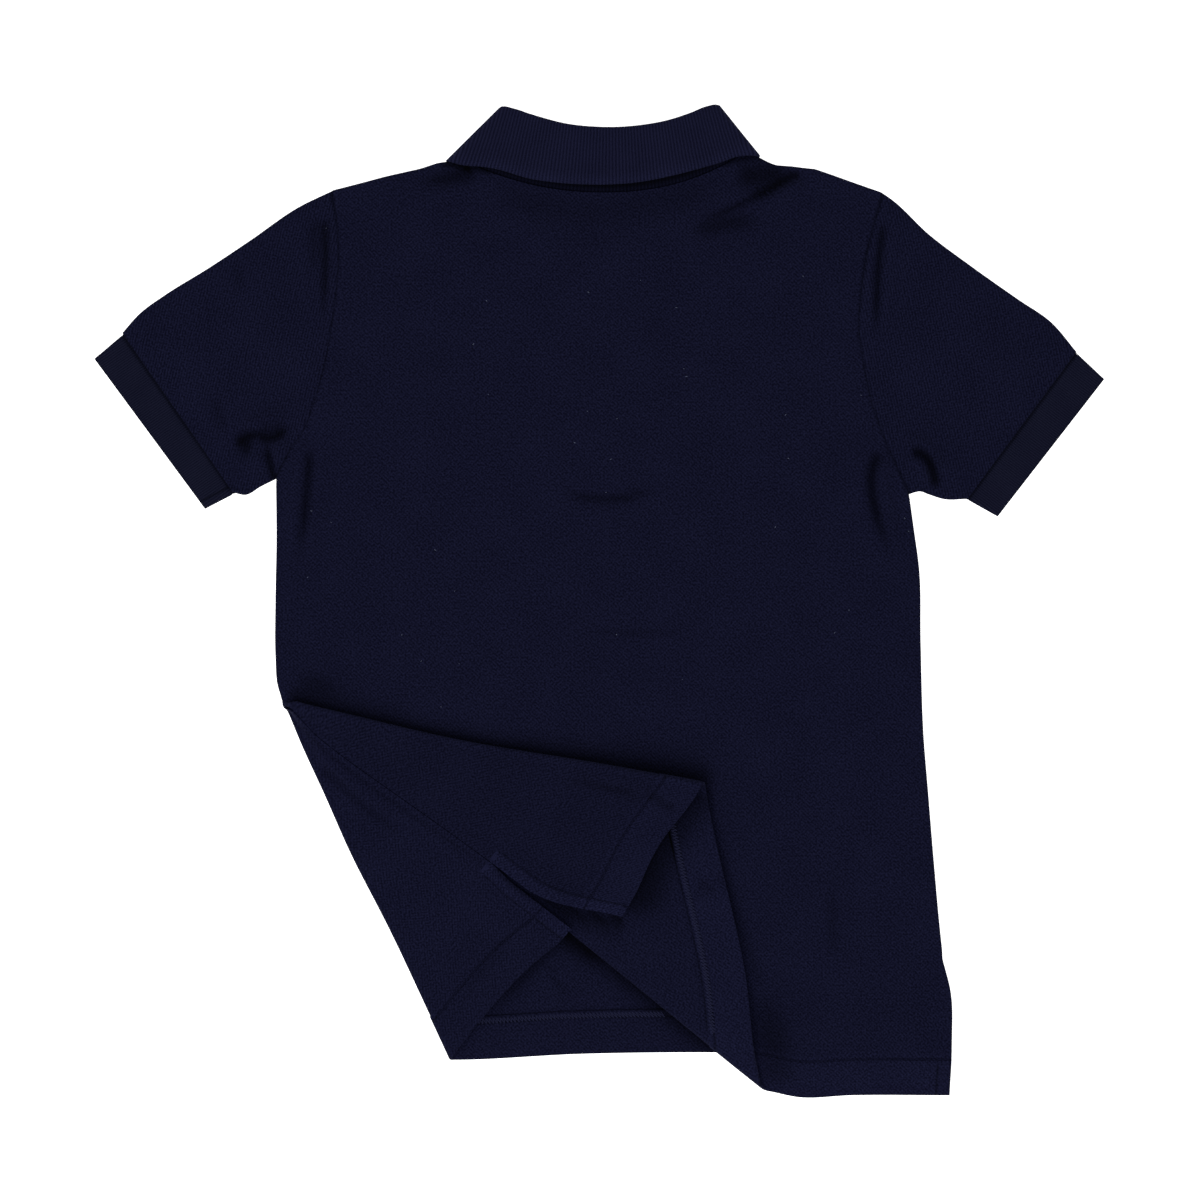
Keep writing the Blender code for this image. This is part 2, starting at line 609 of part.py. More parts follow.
def flat_ring(face, turns):
    """Stations round a flattened tube: across (0 top edge, 1 under edge), outward, lift."""
    turn = np.linspace(0.0, math.pi, turns + 1)[1:-1]
    flat = np.zeros(len(face))
    across = np.concatenate((face, np.ones(turns - 1), face[::-1], np.zeros(turns - 1)))
    outward = np.concatenate((flat, np.sin(turn), flat, np.sin(turn)))
    lift = np.concatenate((flat + 1.0, np.cos(turn), flat - 1.0, -np.cos(turn)))
    return across, outward, lift


def tube_surface(top, under, start, end, steps, middle, half, wall):
    """A flattened tube between four outline curves, as a grid that is closed round the tube."""
    across, outward, lift = flat_ring(np.append(0.0, CHEST_DOWN[4:]), 4)
    along = np.linspace(0.0, 1.0, steps + 1)
    edge_top = through(top, along)
    edge_under = through(under, along)
    rim_start = through(start, across)
    rim_end = through(end, across)
    s = along[:, None, None]
    t = across[None, :, None]
    grid = (1 - t) * edge_top[:, None] + t * edge_under[:, None] + (1 - s) * rim_start + s * rim_end
    corner = (1 - s) * ((1 - t) * edge_top[0] + t * edge_under[0])
    corner = corner + s * ((1 - t) * edge_top[-1] + t * edge_under[-1])
    plan = grid - corner
    out = edge_top - edge_under
    out = out / np.linalg.norm(out, axis=-1, keepdims=True)
    ends = 1.0 - smooth(0.0, 0.12, t) - (1.0 - smooth(0.0, 0.12, 1.0 - t))
    plan = plan - out[:, None] * (EDGE_ROLL + wall / 2.0) * ends
    sign = np.where(across < 0.5, 1.0, -1.0)[None, :, None]
    plan = plan + out[:, None] * sign * outward[None, :, None] * half
    height = middle + lift * half
    height = np.broadcast_to(height, plan.shape[:2])
    return np.concatenate((plan, height[..., None]), axis=-1)


def hairpin(length_in, length_out, radius, steps):
    """Distances from the fold and heights, down one leg, round the fold and down the other."""
    turn = np.linspace(0.0, math.pi, 5)
    back = radius - radius * np.sin(turn)
    rise = radius * (1.0 - np.cos(turn))
    leg = np.linspace(1.0, 0.0, steps + 1)[:-1, None]
    stand = radius + leg * (length_in - radius)
    fall = radius + leg[::-1] * (length_out - radius)
    level = np.zeros((steps, len(length_in)))
    return (
        np.concatenate((stand, np.repeat(back[:, None], len(length_in), axis=1), fall)),
        np.concatenate((level, np.repeat(rise[:, None], len(length_in), axis=1), level + 2 * radius)),
    )


def collar_surface():
    """The collar as a hairpin section, carried from one front end round the neck to the other."""
    rows = np.array(COLLAR_ROWS)
    at = np.linspace(0.0, 1.0, len(rows))
    seam_x, fold, edge, turn = rows[:, 0], rows[:, 1:3], rows[:, 3:5], np.radians(rows[:, 5])
    columns = top_columns()
    nearest = columns[np.abs(seam_x[:, None] - columns).argmin(axis=1)]
    seam_x = np.where(np.abs(seam_x - CENTRE_X) < 4.0, seam_x, nearest)
    under = neck_line(seam_x, NECK_FRONT_Y, NECK_FRONT_POWER)
    over = neck_line(seam_x, NECK_BACK_Y, NECK_BACK_POWER)
    seam = np.stack((seam_x, np.where(turn < -1.0, under, over)), axis=-1)
    deep_in = np.linalg.norm(seam - fold, axis=1) - NECK_GAP - CREASE_GAP * np.cos(turn)
    deep_out = np.linalg.norm(edge - fold, axis=1)
    away, rise = hairpin(deep_in, deep_out, COLLAR_FOLD_ROLL, 3)
    stand_side = np.arange(len(away)) < 5
    to_seam = (seam - fold) / np.linalg.norm(seam - fold, axis=1, keepdims=True)
    to_edge = (edge - fold) / np.linalg.norm(edge - fold, axis=1, keepdims=True)
    toward = np.where(stand_side[:, None, None], to_seam, to_edge)
    plan = fold + away[..., None] * toward
    radius = STAND_TURN + rise
    crease = np.stack((-to_edge[:, 1], to_edge[:, 0]), axis=-1)
    crease = crease * np.where(at < 0.5, -1.0, 1.0)[:, None] * np.sign(crease[:, :1])
    plan = plan + np.cos(turn)[None, :, None] * radius[..., None] * crease
    height = COLLAR_MIDDLE + radius * np.sin(turn)
    return np.concatenate((plan, height[..., None]), axis=-1)


# ---------------------------------------------------------------- meshes


def plain_material(name, colour, roughness):
    """A Principled BSDF of one colour."""
    material = bpy.data.materials.new(name)
    material.use_nodes = True
    shader = material.node_tree.nodes["Principled BSDF"]
    shader.inputs["Base Color"].default_value = colour
    shader.inputs["Roughness"].default_value = roughness
    shader.inputs["Metallic"].default_value = 0.0
    return material


def grid_mesh(name, points, closed=False, skip=None):
    """A grid primitive whose vertices are moved to the points; closed joins its last row round."""
    rows, columns = points.shape[:2]
    if closed:
        points = np.concatenate((points, points[:, :1]), axis=1)
        columns += 1
    mesh = bpy.data.meshes.new(name)
    grid = bmesh.new()
    bmesh.ops.create_grid(grid, x_segments=columns - 1, y_segments=rows - 1, size=1.0)
    if skip is not None:
        grid.faces.ensure_lookup_table()
        gone = [grid.faces[k] for k in skip]
        bmesh.ops.delete(grid, geom=gone, context="FACES_ONLY")
    grid.to_mesh(mesh)
    grid.free()
    mesh.vertices.foreach_set("co", (points * MM).astype(np.float32).ravel())
    mesh.update()
    return mesh


def finish_mesh(mesh, weld=1e-6):
    """Weld the points that coincide and drop loose ones."""
    work = bmesh.new()
    work.from_mesh(mesh)
    bmesh.ops.remove_doubles(work, verts=work.verts, dist=weld)
    loose = [v for v in work.verts if not v.link_faces]
    bmesh.ops.delete(work, geom=loose, context="VERTS")
    work.to_mesh(mesh)
    work.free()
    mesh.update()


def cloth_object(name, mesh, wall, material, collection, turned_up=None):
    """An object with a Solidify wall about the surface, thicker where a hem is turned up."""
    item = bpy.data.objects.new(name, mesh)
    collection.objects.link(item)
    item.data.materials.append(material)
    solid = item.modifiers.new("wall", "SOLIDIFY")
    solid.offset = 0.0
    solid.thickness = wall * MM
    if turned_up is not None:
        group = item.vertex_groups.new(name="turned_up")
        for index in np.flatnonzero(turned_up > 0.0):
            group.add([int(index)], float(turned_up[index]), "REPLACE")
        solid.thickness = (wall + TURN_UP) * MM
        solid.vertex_group = group.name
        solid.thickness_vertex_group = wall / (wall + TURN_UP)
    mesh.shade_smooth()
    return item


def panel_object(name, place, ply, material, collection, skip=None):
    """A body panel, its ply carried through the weld as a point attribute."""
    mesh = grid_mesh(name, place, skip=skip)
    layer = mesh.attributes.new("ply", "FLOAT", "POINT")
    layer.data.foreach_set("value", ply.astype(np.float32).ravel())
    finish_mesh(mesh)
    kept = np.zeros(len(mesh.vertices), dtype=np.float32)
    mesh.attributes["ply"].data.foreach_get("value", kept)
    return cloth_object(name, mesh, WALL, material, collection, kept)


def build_body(collection, cloth):
    """Back and front; the front has a slit for the placket."""
    back, back_ply = back_surface()
    panel_object("back_panel", back, back_ply, cloth, collection)
    front, front_ply = front_surface()
    columns = front.shape[1] - 1
    slot = range(SLOT_COLUMNS[0] + 3, SLOT_COLUMNS[1] + 3)
    skip = [row * columns + column for row in range(ROWS_CHEST) for column in slot]
    panel_object("front_panel", front, front_ply, cloth, collection, skip)
    return front


def build_sleeves(collection, cloth, rib):
    """Each sleeve is a flattened tube from its armhole to its cuff, each cuff a shorter one."""
    middle = (PITCH + WALL) / 2.0
    shapes = (
        ("left", SLEEVE_LEFT_TOP, SLEEVE_LEFT_UNDER, ARMHOLE_LEFT, CUFF_LEFT_TOP, CUFF_LEFT_UNDER),
        ("right", SLEEVE_RIGHT_TOP, SLEEVE_RIGHT_UNDER, ARMHOLE_RIGHT, CUFF_RIGHT_TOP,
         CUFF_RIGHT_UNDER),
    )
    for side, top, under, armhole, cuff_top, cuff_under in shapes:
        outward = -1.0 if side == "left" else 1.0
        start = np.array(armhole) + (outward * SEAM_GAP * 1.5, 0.0)
        start[0] = top[0]
        start[-1] = under[0]
        sleeve = tube_surface(top, under, start, (top[-1], under[-1]), 10, middle, EDGE_ROLL, WALL)
        mesh = grid_mesh("sleeve_" + side, sleeve, closed=True)
        finish_mesh(mesh)
        cloth_object("sleeve_" + side, mesh, WALL, cloth, collection)
        cuff = tube_surface(
            cuff_top, cuff_under, (cuff_top[0], cuff_under[0]), (cuff_top[-1], cuff_under[-1]),
            3, middle, EDGE_ROLL, CUFF_WALL)
        mesh = grid_mesh("cuff_" + side, cuff, closed=True)
        finish_mesh(mesh)
        cloth_object("cuff_" + side, mesh, CUFF_WALL, rib, collection)


def build_collar(collection, rib):
    """The rib collar: stand and fall in one piece."""
    mesh = grid_mesh("collar", collar_surface())
    finish_mesh(mesh)
    cloth_object("collar", mesh, RIB_WALL, rib, collection)


def build_placket(collection, cloth, front):
    """Two strips in the slit, from the front's own points, moved in by the seam gap."""
    left = front[:ROWS_CHEST + 1, SLOT_COLUMNS[0] + 3]
    right = front[:ROWS_CHEST + 1, SLOT_COLUMNS[1] + 3]
    for name, lift in (("placket_over", 0.0), ("placket_under", PITCH)):
        f = np.linspace(0.0, 1.0, 5)[None, :, None]
        strip = left[:, None] + f * (right - left)[:, None]
        dip = neck_line(strip[0, :, 0], NECK_FRONT_Y, NECK_FRONT_POWER) - strip[0, :, 1]
        strip[..., 1] += (1.0 - CHEST_DOWN)[:, None] * dip
        strip[:, 0, 0] += SEAM_GAP
        strip[:, -1, 0] -= SEAM_GAP
        strip[-1, :, 1] += SEAM_GAP
        strip[..., 2] += lift
        mesh = grid_mesh(name, strip)
        finish_mesh(mesh)
        cloth_object(name, mesh, WALL, cloth, collection)


def build_buttons(collection, cutters, material):
    """Four-hole buttons, face down on the surface that the shirt lies on."""
    for name, y in BUTTON_Y.items():
        mesh = bpy.data.meshes.new(name)
        disc = bmesh.new()
        bmesh.ops.create_cone(
            disc, cap_ends=True, segments=32, radius1=BUTTON_RADIUS * MM,
            radius2=BUTTON_RADIUS * MM, depth=BUTTON_THICK * MM)
        disc.to_mesh(mesh)
        disc.free()
        button = bpy.data.objects.new(name, mesh)
        button.location = (CENTRE_X * MM, y * MM, BUTTON_THICK * MM / 2.0)
        mesh.materials.append(material)
        collection.objects.link(button)
        soft = button.modifiers.new("rim", "BEVEL")
        soft.width = 0.5 * MM
        soft.segments = 2
        soft.limit_method = "ANGLE"
        for corner in range(4):
            angle = math.radians(45.0 + 90.0 * corner)
            hole_mesh = bpy.data.meshes.new("hole")
            drill = bmesh.new()
            bmesh.ops.create_cone(
                drill, cap_ends=True, segments=10, radius1=BUTTON_HOLE * MM,
                radius2=BUTTON_HOLE * MM, depth=4.0 * BUTTON_THICK * MM)
            drill.to_mesh(hole_mesh)
            drill.free()
            hole = bpy.data.objects.new(f"{name}_hole_{corner}", hole_mesh)
            hole.location = (
                button.location.x + BUTTON_HOLE_RING * MM * math.cos(angle),
                button.location.y + BUTTON_HOLE_RING * MM * math.sin(angle),
                button.location.z,
            )
            hole.hide_render = True
            hole.display_type = "WIRE"
            cutters.objects.link(hole)
            cut = button.modifiers.new(f"hole_{corner}", "BOOLEAN")
            cut.operation = "DIFFERENCE"
            cut.object = hole


def main():
    for item in list(bpy.data.objects):
        bpy.data.objects.remove(item, do_unlink=True)
    collection = bpy.data.collections.new(NAME)
    cutters = bpy.data.collections.new("cutters")
    bpy.context.scene.collection.children.link(collection)
    bpy.context.scene.collection.children.link(cutters)
    cloth = plain_material("navy_pique", NAVY, 0.9)
    rib = plain_material("navy_rib", NAVY_RIB, 0.9)
    resin = plain_material("button_resin", BUTTON_NAVY, 0.35)
    front = build_body(collection, cloth)
    build_sleeves(collection, cloth, rib)
    build_collar(collection, rib)
    build_placket(collection, cloth, front)
    build_buttons(collection, cutters, resin)


main()
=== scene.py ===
"""A navy polo shirt lying flat, its back uppermost, one bottom corner drawn up and over.

Every cloth piece is a fine grid on the same formulas as its solid, with creases laid on as soft
troughs and ridges and a wall added by Solidify. Lengths are millimetres until a mesh is made. +X is
the wearer's right, +Y runs from hem to collar, +Z is up.
"""

import math

import bmesh
import bpy
import numpy as np
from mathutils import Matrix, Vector


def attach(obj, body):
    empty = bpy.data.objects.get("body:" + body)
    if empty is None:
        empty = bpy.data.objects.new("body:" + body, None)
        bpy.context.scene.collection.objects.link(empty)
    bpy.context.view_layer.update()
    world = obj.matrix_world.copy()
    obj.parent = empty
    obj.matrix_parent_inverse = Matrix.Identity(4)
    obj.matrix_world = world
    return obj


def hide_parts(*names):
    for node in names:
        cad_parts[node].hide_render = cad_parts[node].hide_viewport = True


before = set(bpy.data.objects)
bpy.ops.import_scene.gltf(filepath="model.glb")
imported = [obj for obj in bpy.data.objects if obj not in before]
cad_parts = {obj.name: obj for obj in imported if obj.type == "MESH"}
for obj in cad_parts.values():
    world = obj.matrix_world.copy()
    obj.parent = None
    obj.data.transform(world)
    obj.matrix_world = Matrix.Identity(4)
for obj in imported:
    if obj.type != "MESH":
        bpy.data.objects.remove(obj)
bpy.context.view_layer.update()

MM = 0.001

# --- cloth
WALL = 1.0                # one ply
TURN_UP = 0.8             # what a second ply adds at a hem
RIB_WALL = 1.4            # collar
CUFF_WALL = 1.2
LAYER_GAP = 0.8           # between cloth that lies on cloth
SEAM_GAP = 0.3            # between pieces at a seam
PITCH = WALL + LAYER_GAP
EDGE_ROLL = 0.9           # radius at which the two layers turn into a side edge

CENTRE_X = 4.5
PLACKET_HALF = 15.0

# --- cut lines, seen from above with the shirt flat: (x, y) rows
ARMHOLE_LEFT = (
    (-149.5, 229.9), (-147.2, 214.9), (-146.0, 191.8), (-148.5, 166.0), (-153.9, 133.4),
    (-159.4, 113.1), (-166.2, 95.4), (-174.3, 83.7), (-180.6, 69.5),
)
ARMHOLE_RIGHT = (
    (158.4, 228.8), (154.4, 212.5), (149.5, 190.1), (146.7, 169.2), (145.8, 155.3),
    (148.8, 131.7), (153.7, 109.4), (160.7, 89.9), (166.9, 75.9), (173.2, 61.0),
)
SHOULDER_LEFT = (
    (-149.5, 229.9), (-119.3, 237.7), (-100.0, 241.9), (-90.0, 245.2), (-82.0, 246.2),
    (-74.5, 246.0),
)
SHOULDER_RIGHT = (
    (80.0, 250.2), (87.6, 249.4), (92.6, 246.6), (98.5, 244.0), (109.2, 243.1), (122.6, 241.2),
    (137.2, 236.2), (158.4, 228.8),
)
NECK_LEFT = SHOULDER_LEFT[-1]
NECK_RIGHT = SHOULDER_RIGHT[0]
NECK_BACK_Y = 229.0
NECK_FRONT_Y = 179.5
NECK_BACK_POWER = 2.2
NECK_FRONT_POWER = 2.6

APEX = (-176.4, -55.2)        # where the side seam meets the three folds
APEX_OUT = (-177.1, -55.2)    # the outline's own point beside it
SIDE_LEFT = (
    (-180.6, 69.5), (-180.3, 34.4), (-180.9, 0.8), (-180.8, -32.8), (-179.8, -46.5), APEX_OUT,
)
SIDE_RIGHT = (
    (173.2, 61.0), (175.8, 42.0), (179.0, 18.0), (179.8, -21.6), (181.6, -77.6),
    (183.8, -104.4), (187.4, -148.1), (190.6, -183.4), (192.4, -200.0),
)
VENT_BACK = ((192.4, -200.0), (197.1, -218.7), (197.7, -247.2), (196.6, -276.9))
VENT_FRONT = ((192.4, -200.0), (194.0, -226.0), (194.5, -256.6))
HEM_BACK = (
    (196.6, -276.9), (140.6, -276.9), (112.6, -278.0), (92.0, -274.0), (22.0, -277.0),
    (-66.0, -275.0), (-84.0, -275.6), (-98.0, -276.8),
    (-114.0, -276.6), (-130.0, -276.0), (-168.8, -279.5),
)
HEM_FRONT = (
    (194.5, -256.6), (65.1, -252.8), (-8.2, -253.6), (-84.0, -257.0), (-120.0, -255.9),
    (-157.0, -257.2), (-178.0, -260.5),
)
HEM_DEEP = 23.8           # of the turned-up hems
STITCHED = 20.5           # height of the hems' stitching
FACING = 7.5              # width of the vents' facings
RAW_LINE = (HEM_DEEP + 0.5, 0.5)  # just above a hem's raw edge, and how wide its shadow is
HEM_STEP = 0.25           # half the width of the step at a raw edge
HEM_STEP_SOFT = 2.5       # and what is added to it beyond these angles, in degrees
HEM_CRISP = ((21.0, 24.0), (52.0, 58.0))

# --- the corner drawn over: angles round the apex, from straight down towards +X. A pair of numbers
# says where something starts and ends, in distance from the apex. A bow is a turn, where it is and
# how wide.
FRONT_FOLD = math.radians(24.8)       # the front rolls up and over here
FRONT_FOLD_BOWS = ((math.radians(1.4), 85.0, 38.0), (math.radians(5.0), 0.0, 44.0))
BACK_FOLD = math.radians(51.0)        # the back rolls under itself here
FLAP_CUT = math.radians(23.1)         # where the flap's top edge lies on the flat back
FLAP_EDGE = math.radians(78.9)        # and where it lies once drawn over
FLAP_EDGE_BOWS = ((math.radians(2.0), 75.0, 75.0), (math.radians(-10.0), 0.0, 8.0))
SEAM_CUT = math.radians(-3.5)
SEAM_LIES = math.radians(52.4)
SEAM_BOW = math.radians(10.0)         # the seam bows down near the apex
SEAM_BOW_FROM = 25.0
SEAM_BOW_RUN = 40.0
VENT_TOP = 147.0
VENT_STEP = (VENT_TOP - 1.0, VENT_TOP + 1.0)
BACK_PARTS = (math.radians(5.5), 170.0, 235.0)     # below the vent the back's edge turns away
FRONT_PARTS = (math.radians(-0.7), 147.0, 165.0)   # and the front's a little to the other side
FRONT_ROLL = 2.3
FRONT_ROLL_SLOW = 0.5                 # the front's roll opens out at half the pace of the others
BACK_ROLL = 1.3
BACK_ROLL_HEM = 2.2
BACK_ROLL_OPENS = (0.8, 1.3)          # in shares of the flap's reach
FLAP_ROLL = 1.6
FLAP_ROLL_HEM = 2.4
FLAP_REACH = 237.0
ROLL_GROWS = 10.0                     # the rolls open out over this distance from the apex
FOLD_COMPLETE = 8.0
FOLD_HUMP = 1.5                       # the cloth stands up between flat and folded
FOLD_OUT = (0.5, 3.0)                 # and lies this far out, most at this distance
FOLD_OUT_SHARE = 0.35
SEAM_SPREAD = 1.2                     # the seam's two edges part there
SEAM_LIFT = 1.2                       # the seam lies this far above three layers
HEM_LIFT = 1.2                        # and this much more over the hems
HEMS_MEET = (170.0, 200.0)
VENT_PLY = 0.6                        # a vent's facing puffs up between its edge and its stitching
FACING_STEP = 0.8
STRIP_CURL = 1.6                      # the vent's edge curls up
STRIP_CURL_RUN = (VENT_TOP + 4.0, VENT_TOP + 30.0)
STRIP_CURL_SHARE = 0.85               # over the last part of the flap
FLAP_LIFT = 4.6                       # the flap's top edge above its seam, at the hem
FLAP_LIFT_POWER = 1.5
FLAP_EDGE_LIFT = 1.5                  # and above the back all along
CORNER_LIFT = 4.0                     # the flap's hem stands off too, from the vent outwards
CORNER_LIFT_RUN = (152.0, 226.0)
TURNED_LIFT = 3.2                     # the inside hem lifts beside the back's fold
TURNED_HEM = (10.0, 70.0)             # heights above the hem between which that dies away
TURNED_RISE = (0.0, 0.09)             # and shares of the leg over which it rises and falls
TURNED_FALL = (0.12, 0.4)
FADE_BODY = 6.0                       # creases fade out over this beside a fold
FADE_LEG = 5.0
FADE_FLAP = 4.0
SHADOW_WIDE = 6.0                     # width of the shade beside the flap
SHADOW_NEAR = (3.0, 25.0, 90.0)       # how much wider, and where, towards the apex
SHADOW_FAR = (6.0, 90.0, 225.0)       # and towards the hem
SHADOW_STARTS = 8.0
SHADOW_ENDS = (236.0, 250.0)
SHADOW_TURN = math.radians(150.0)
SHADOW_INSIDE = 6.5                   # and beside the back's fold, on the front's inside

# --- heights
BUTTON_LIFT = 2.5                     # the buttons under the front raise it by this
BUTTON_EDGE = PLACKET_HALF + 2.0      # out to here
BUTTON_LIFT_RUN = 30.0                # fading to each side over this
BUTTON_LIFT_Y = (68.0, 100.0, 160.0, 180.0)
COLLAR_LIFT = 1.9                     # and the collar by this
COLLAR_SPREAD = 0.4                   # front and back part by this more beside it
COLLAR_HALF = (98.0, 70.0)            # half sizes of the oval that the collar lies in
COLLAR_RING = (1.14, 1.5)             # and the shares of it between which its lift fades
COLLAR_MIDDLE_Y = 216.0
STRIP_Y = (30.0, 60.0, 197.0, 208.0)  # the second strip's thickness under the back
STRIP_RUN = 40.0
FRONT_HEM_Y = (-232.0, -224.0)        # the back rises over the front's turned-up hem
PAST_FRONT_Y = (-274.0, -257.0)       # and comes down past it
HEM_EASE = 3.0                        # the back's middle eases over its own hem
SEAM_DIP = (0.0, 0.8)                 # beside an armhole seam: where and how wide the dip is
SEAM_RIM = (2.2, 1.0)                 # and the rim next to it
SEAM_DIP_DEEP = 0.7
SEAM_RIM_HIGH = 0.35

# --- sleeves and cuffs: outline rows from armhole to cuff
SLEEVE_LEFT_TOP = (
    (-149.9, 229.9), (-167.4, 221.5), (-195.4, 202.4), (-219.0, 186.8), (-243.0, 172.0),
    (-257.5, 161.4), (-267.2, 150.6),
)
SLEEVE_LEFT_UNDER = ((-181.4, 68.6), (-190.0, 64.2), (-198.0, 59.6), (-204.9, 61.0))
CUFF_LEFT_TOP = ((-267.4, 149.2), (-282.9, 136.1))
CUFF_LEFT_UNDER = ((-204.6, 59.6), (-220.4, 51.4))
SLEEVE_RIGHT_TOP = (
    (158.9, 228.8), (163.0, 226.0), (185.1, 205.5), (207.4, 188.8), (235.2, 169.2),
    (253.3, 156.7), (267.6, 140.0),
)
SLEEVE_RIGHT_UNDER = ((174.0, 60.2), (180.3, 61.6), (185.1, 59.9), (193.4, 57.3), (206.4, 57.4))
CUFF_RIGHT_TOP = ((268.0, 139.0), (283.2, 124.7))
CUFF_RIGHT_UNDER = ((206.8, 56.6), (223.2, 47.4))

# --- collar stations, from one front end over each shoulder crease to the other. Columns: seam x;
# fold x, y; edge x, y; turn in degrees, -90 under the shirt and 90 on its back.
COLLAR_ROWS = (
    (3.0, 1.5, 203.0, -32.0, 156.0, -90),
    (-10.5, -9.5, 204.6, -43.0, 159.0, -90),
    (-23.3, -20.0, 209.0, -54.0, 166.0, -90),
    (-36.1, -29.0, 215.5, -65.0, 177.0, -90),
    (-48.9, -37.0, 226.0, -74.0, 193.0, -90),
    (-61.7, -44.0, 243.0, -81.5, 215.0, -90),
    (-74.5, -50.5, 268.0, -83.6, 239.0, -90),
    (-74.5, -53.4, 273.8, -83.6, 244.2, -45),
    (-74.5, -53.0, 274.8, -83.3, 244.7, 0),
    (-74.5, -51.4, 275.4, -82.2, 244.8, 45),
    (-74.5, -48.2, 275.4, -79.0, 244.6, 90),
    (-61.7, -39.0, 272.4, -62.0, 242.7, 90),
    (-36.1, -19.0, 267.0, -36.0, 235.9, 90),
    (-10.5, -3.0, 265.2, -12.0, 233.4, 90),
    (19.5, 17.0, 265.4, 18.0, 234.0, 90),
    (43.7, 36.0, 268.2, 42.0, 238.4, 90),
    (67.9, 51.0, 272.8, 66.0, 244.8, 90),
    (80.0, 61.4, 276.8, 82.0, 249.4, 90),
    (80.0, 63.8, 276.6, 86.4, 248.2, 45),
    (80.0, 65.2, 275.6, 87.6, 247.8, 0),
    (80.0, 66.0, 274.0, 87.8, 247.2, -45),
    (80.0, 64.0, 268.0, 88.4, 241.0, -90),
    (67.9, 56.0, 243.0, 89.0, 215.0, -90),
    (55.8, 47.0, 226.0, 83.0, 193.0, -90),
    (43.7, 39.0, 215.5, 74.0, 177.0, -90),
    (31.6, 29.5, 209.0, 63.0, 166.0, -90),
    (19.5, 18.5, 204.6, 52.0, 159.0, -90),
    (6.0, 7.5, 203.0, 41.0, 156.0, -90),
)
COLLAR_FOLD_ROLL = 0.85
COLLAR_MIDDLE = 3.5
STAND_TURN = 1.1
NECK_GAP = -1.5
STAND_TUCK = (0.9, 2.2)       # at the front and at the back
FAN_CENTRE = (7.0, 480.0)     # the ribs of the collar's back all point here
FAN_RADIUS = 225.0
CREASE_GAP = 1.5
FALL_LIFT = 1.6               # how far the fall's edge stands off the back

# --- how much darker, or paler, the colour is painted
TROUGH_SHADE = 1.2
FLAP_SHADE = 0.85             # beside the flap
RAW_SHADE = 0.8               # along a hem's raw edge
SEAM_SHADE = 0.55             # in the dip beside an armhole seam
PLY_LIGHT = 0.2               # two plies look a little paler
STRIP_LIGHT = 0.3             # and so does a vent's facing
FLAP_SLOPE_SHADE = 0.12              # painted shade: the flap slopes away from the light

# --- creases. Columns: start x, y; middle x, y; end x, y; width; height; how much of the run it
# takes to fade in and out. Below zero is a trough; a trough lies between the wider ridges it needs.
CREASE_SCALE = 2.1
CREASE_STEPS = 24             # straight pieces that a crease's curve is measured by
CREASE_REACH = 3.0            # widths at which a crease has died away
TROUGH_LIMIT = 0.5            # no trough is deeper, because cloth lies under it
TROUGH_DARK = 1.5
CREASES_BODY = (
    (74, 240, 90, 239, 108, 243, 7.0, -0.8, 0.3, 0.2),
    (114, 236, 97, 226, 78, 219, 4.5, 2.2, 0.1, 0.4),
    (113, 240.8, 97, 231.6, 83, 225.4, 2.0, -3.2, 0.12, 0.45),
    (94, 230, 77, 221.5, 55, 212.8, 1.6, -1.2, 0.15, 0.4),
    (90, 223, 70, 218, 52, 209, 4.0, 1.3, 0.3, 0.3),
    (94, 213, 72, 212, 50, 206, 5.0, -0.9, 0.4, 0.25),
    (-76, 245, -86, 241, -100, 238, 3.0, 0.8, 0.2, 0.4),
    (-70, 242, -82, 237.5, -107, 235, 4.0, -1.2, 0.15, 0.4),
    (-68, 238, -80, 231, -96, 230, 5.0, 0.9, 0.3, 0.4),
    (-26, 63, 5, 52, 38, 65, 6.0, 1.0, 0.35, 0.35),
    (-24, 64, 5, 57, 36, 66, 2.2, -1.0, 0.35, 0.35),
    (-22, -12, 20, -14, 58, -12, 4.0, 0.5, 0.4, 0.4),
    (-20, -15, 20, -17, 56, -15, 2.2, -0.4, 0.4, 0.4),
    (148, -18, 160, -19, 174, -17, 3.0, 0.5, 0.4, 0.2),
    (-179, -28, -174, -30, -166, -29, 3.0, 0.5, 0.2, 0.4),
    (-166, 92, -168, 62, -174, 14, 6.0, 1.5, 0.2, 0.4),
    (-162, 88, -164, 58, -169, 18, 2.4, -1.3, 0.2, 0.4),
    (-157, 88, -159, 56, -164, 20, 5.0, 0.9, 0.25, 0.4),
    (163, 84, 158, 62, 170, 16, 6.0, 1.7, 0.2, 0.4),
    (159, 84, 153, 62, 166, 20, 2.6, -1.6, 0.15, 0.4),
    (153, 86, 146, 60, 160, 22, 6.0, 1.1, 0.25, 0.4),
    (-168, -38, -154, -38, -140, -50, 6.0, 1.0, 0.3, 0.4),
    (-171, -47, -156, -46, -138, -57, 5.0, -0.4, 0.4, 0.5),
    (124, -152, 127, -180, 128, -204, 4.0, 0.6, 0.4, 0.4),
    (129, -150, 131, -180, 131, -202, 2.6, -0.4, 0.4, 0.4),
    (60, 150, 90, 110, 100, 60, 22.0, 0.7, 0.4, 0.4),
    (-90, 170, -70, 120, -90, 60, 24.0, 0.6, 0.4, 0.4),
    (-100, -10, -20, -40, 80, -60, 26.0, 0.7, 0.4, 0.4),
    (100, -60, 120, -130, 110, -190, 20.0, 0.6, 0.4, 0.4),
)
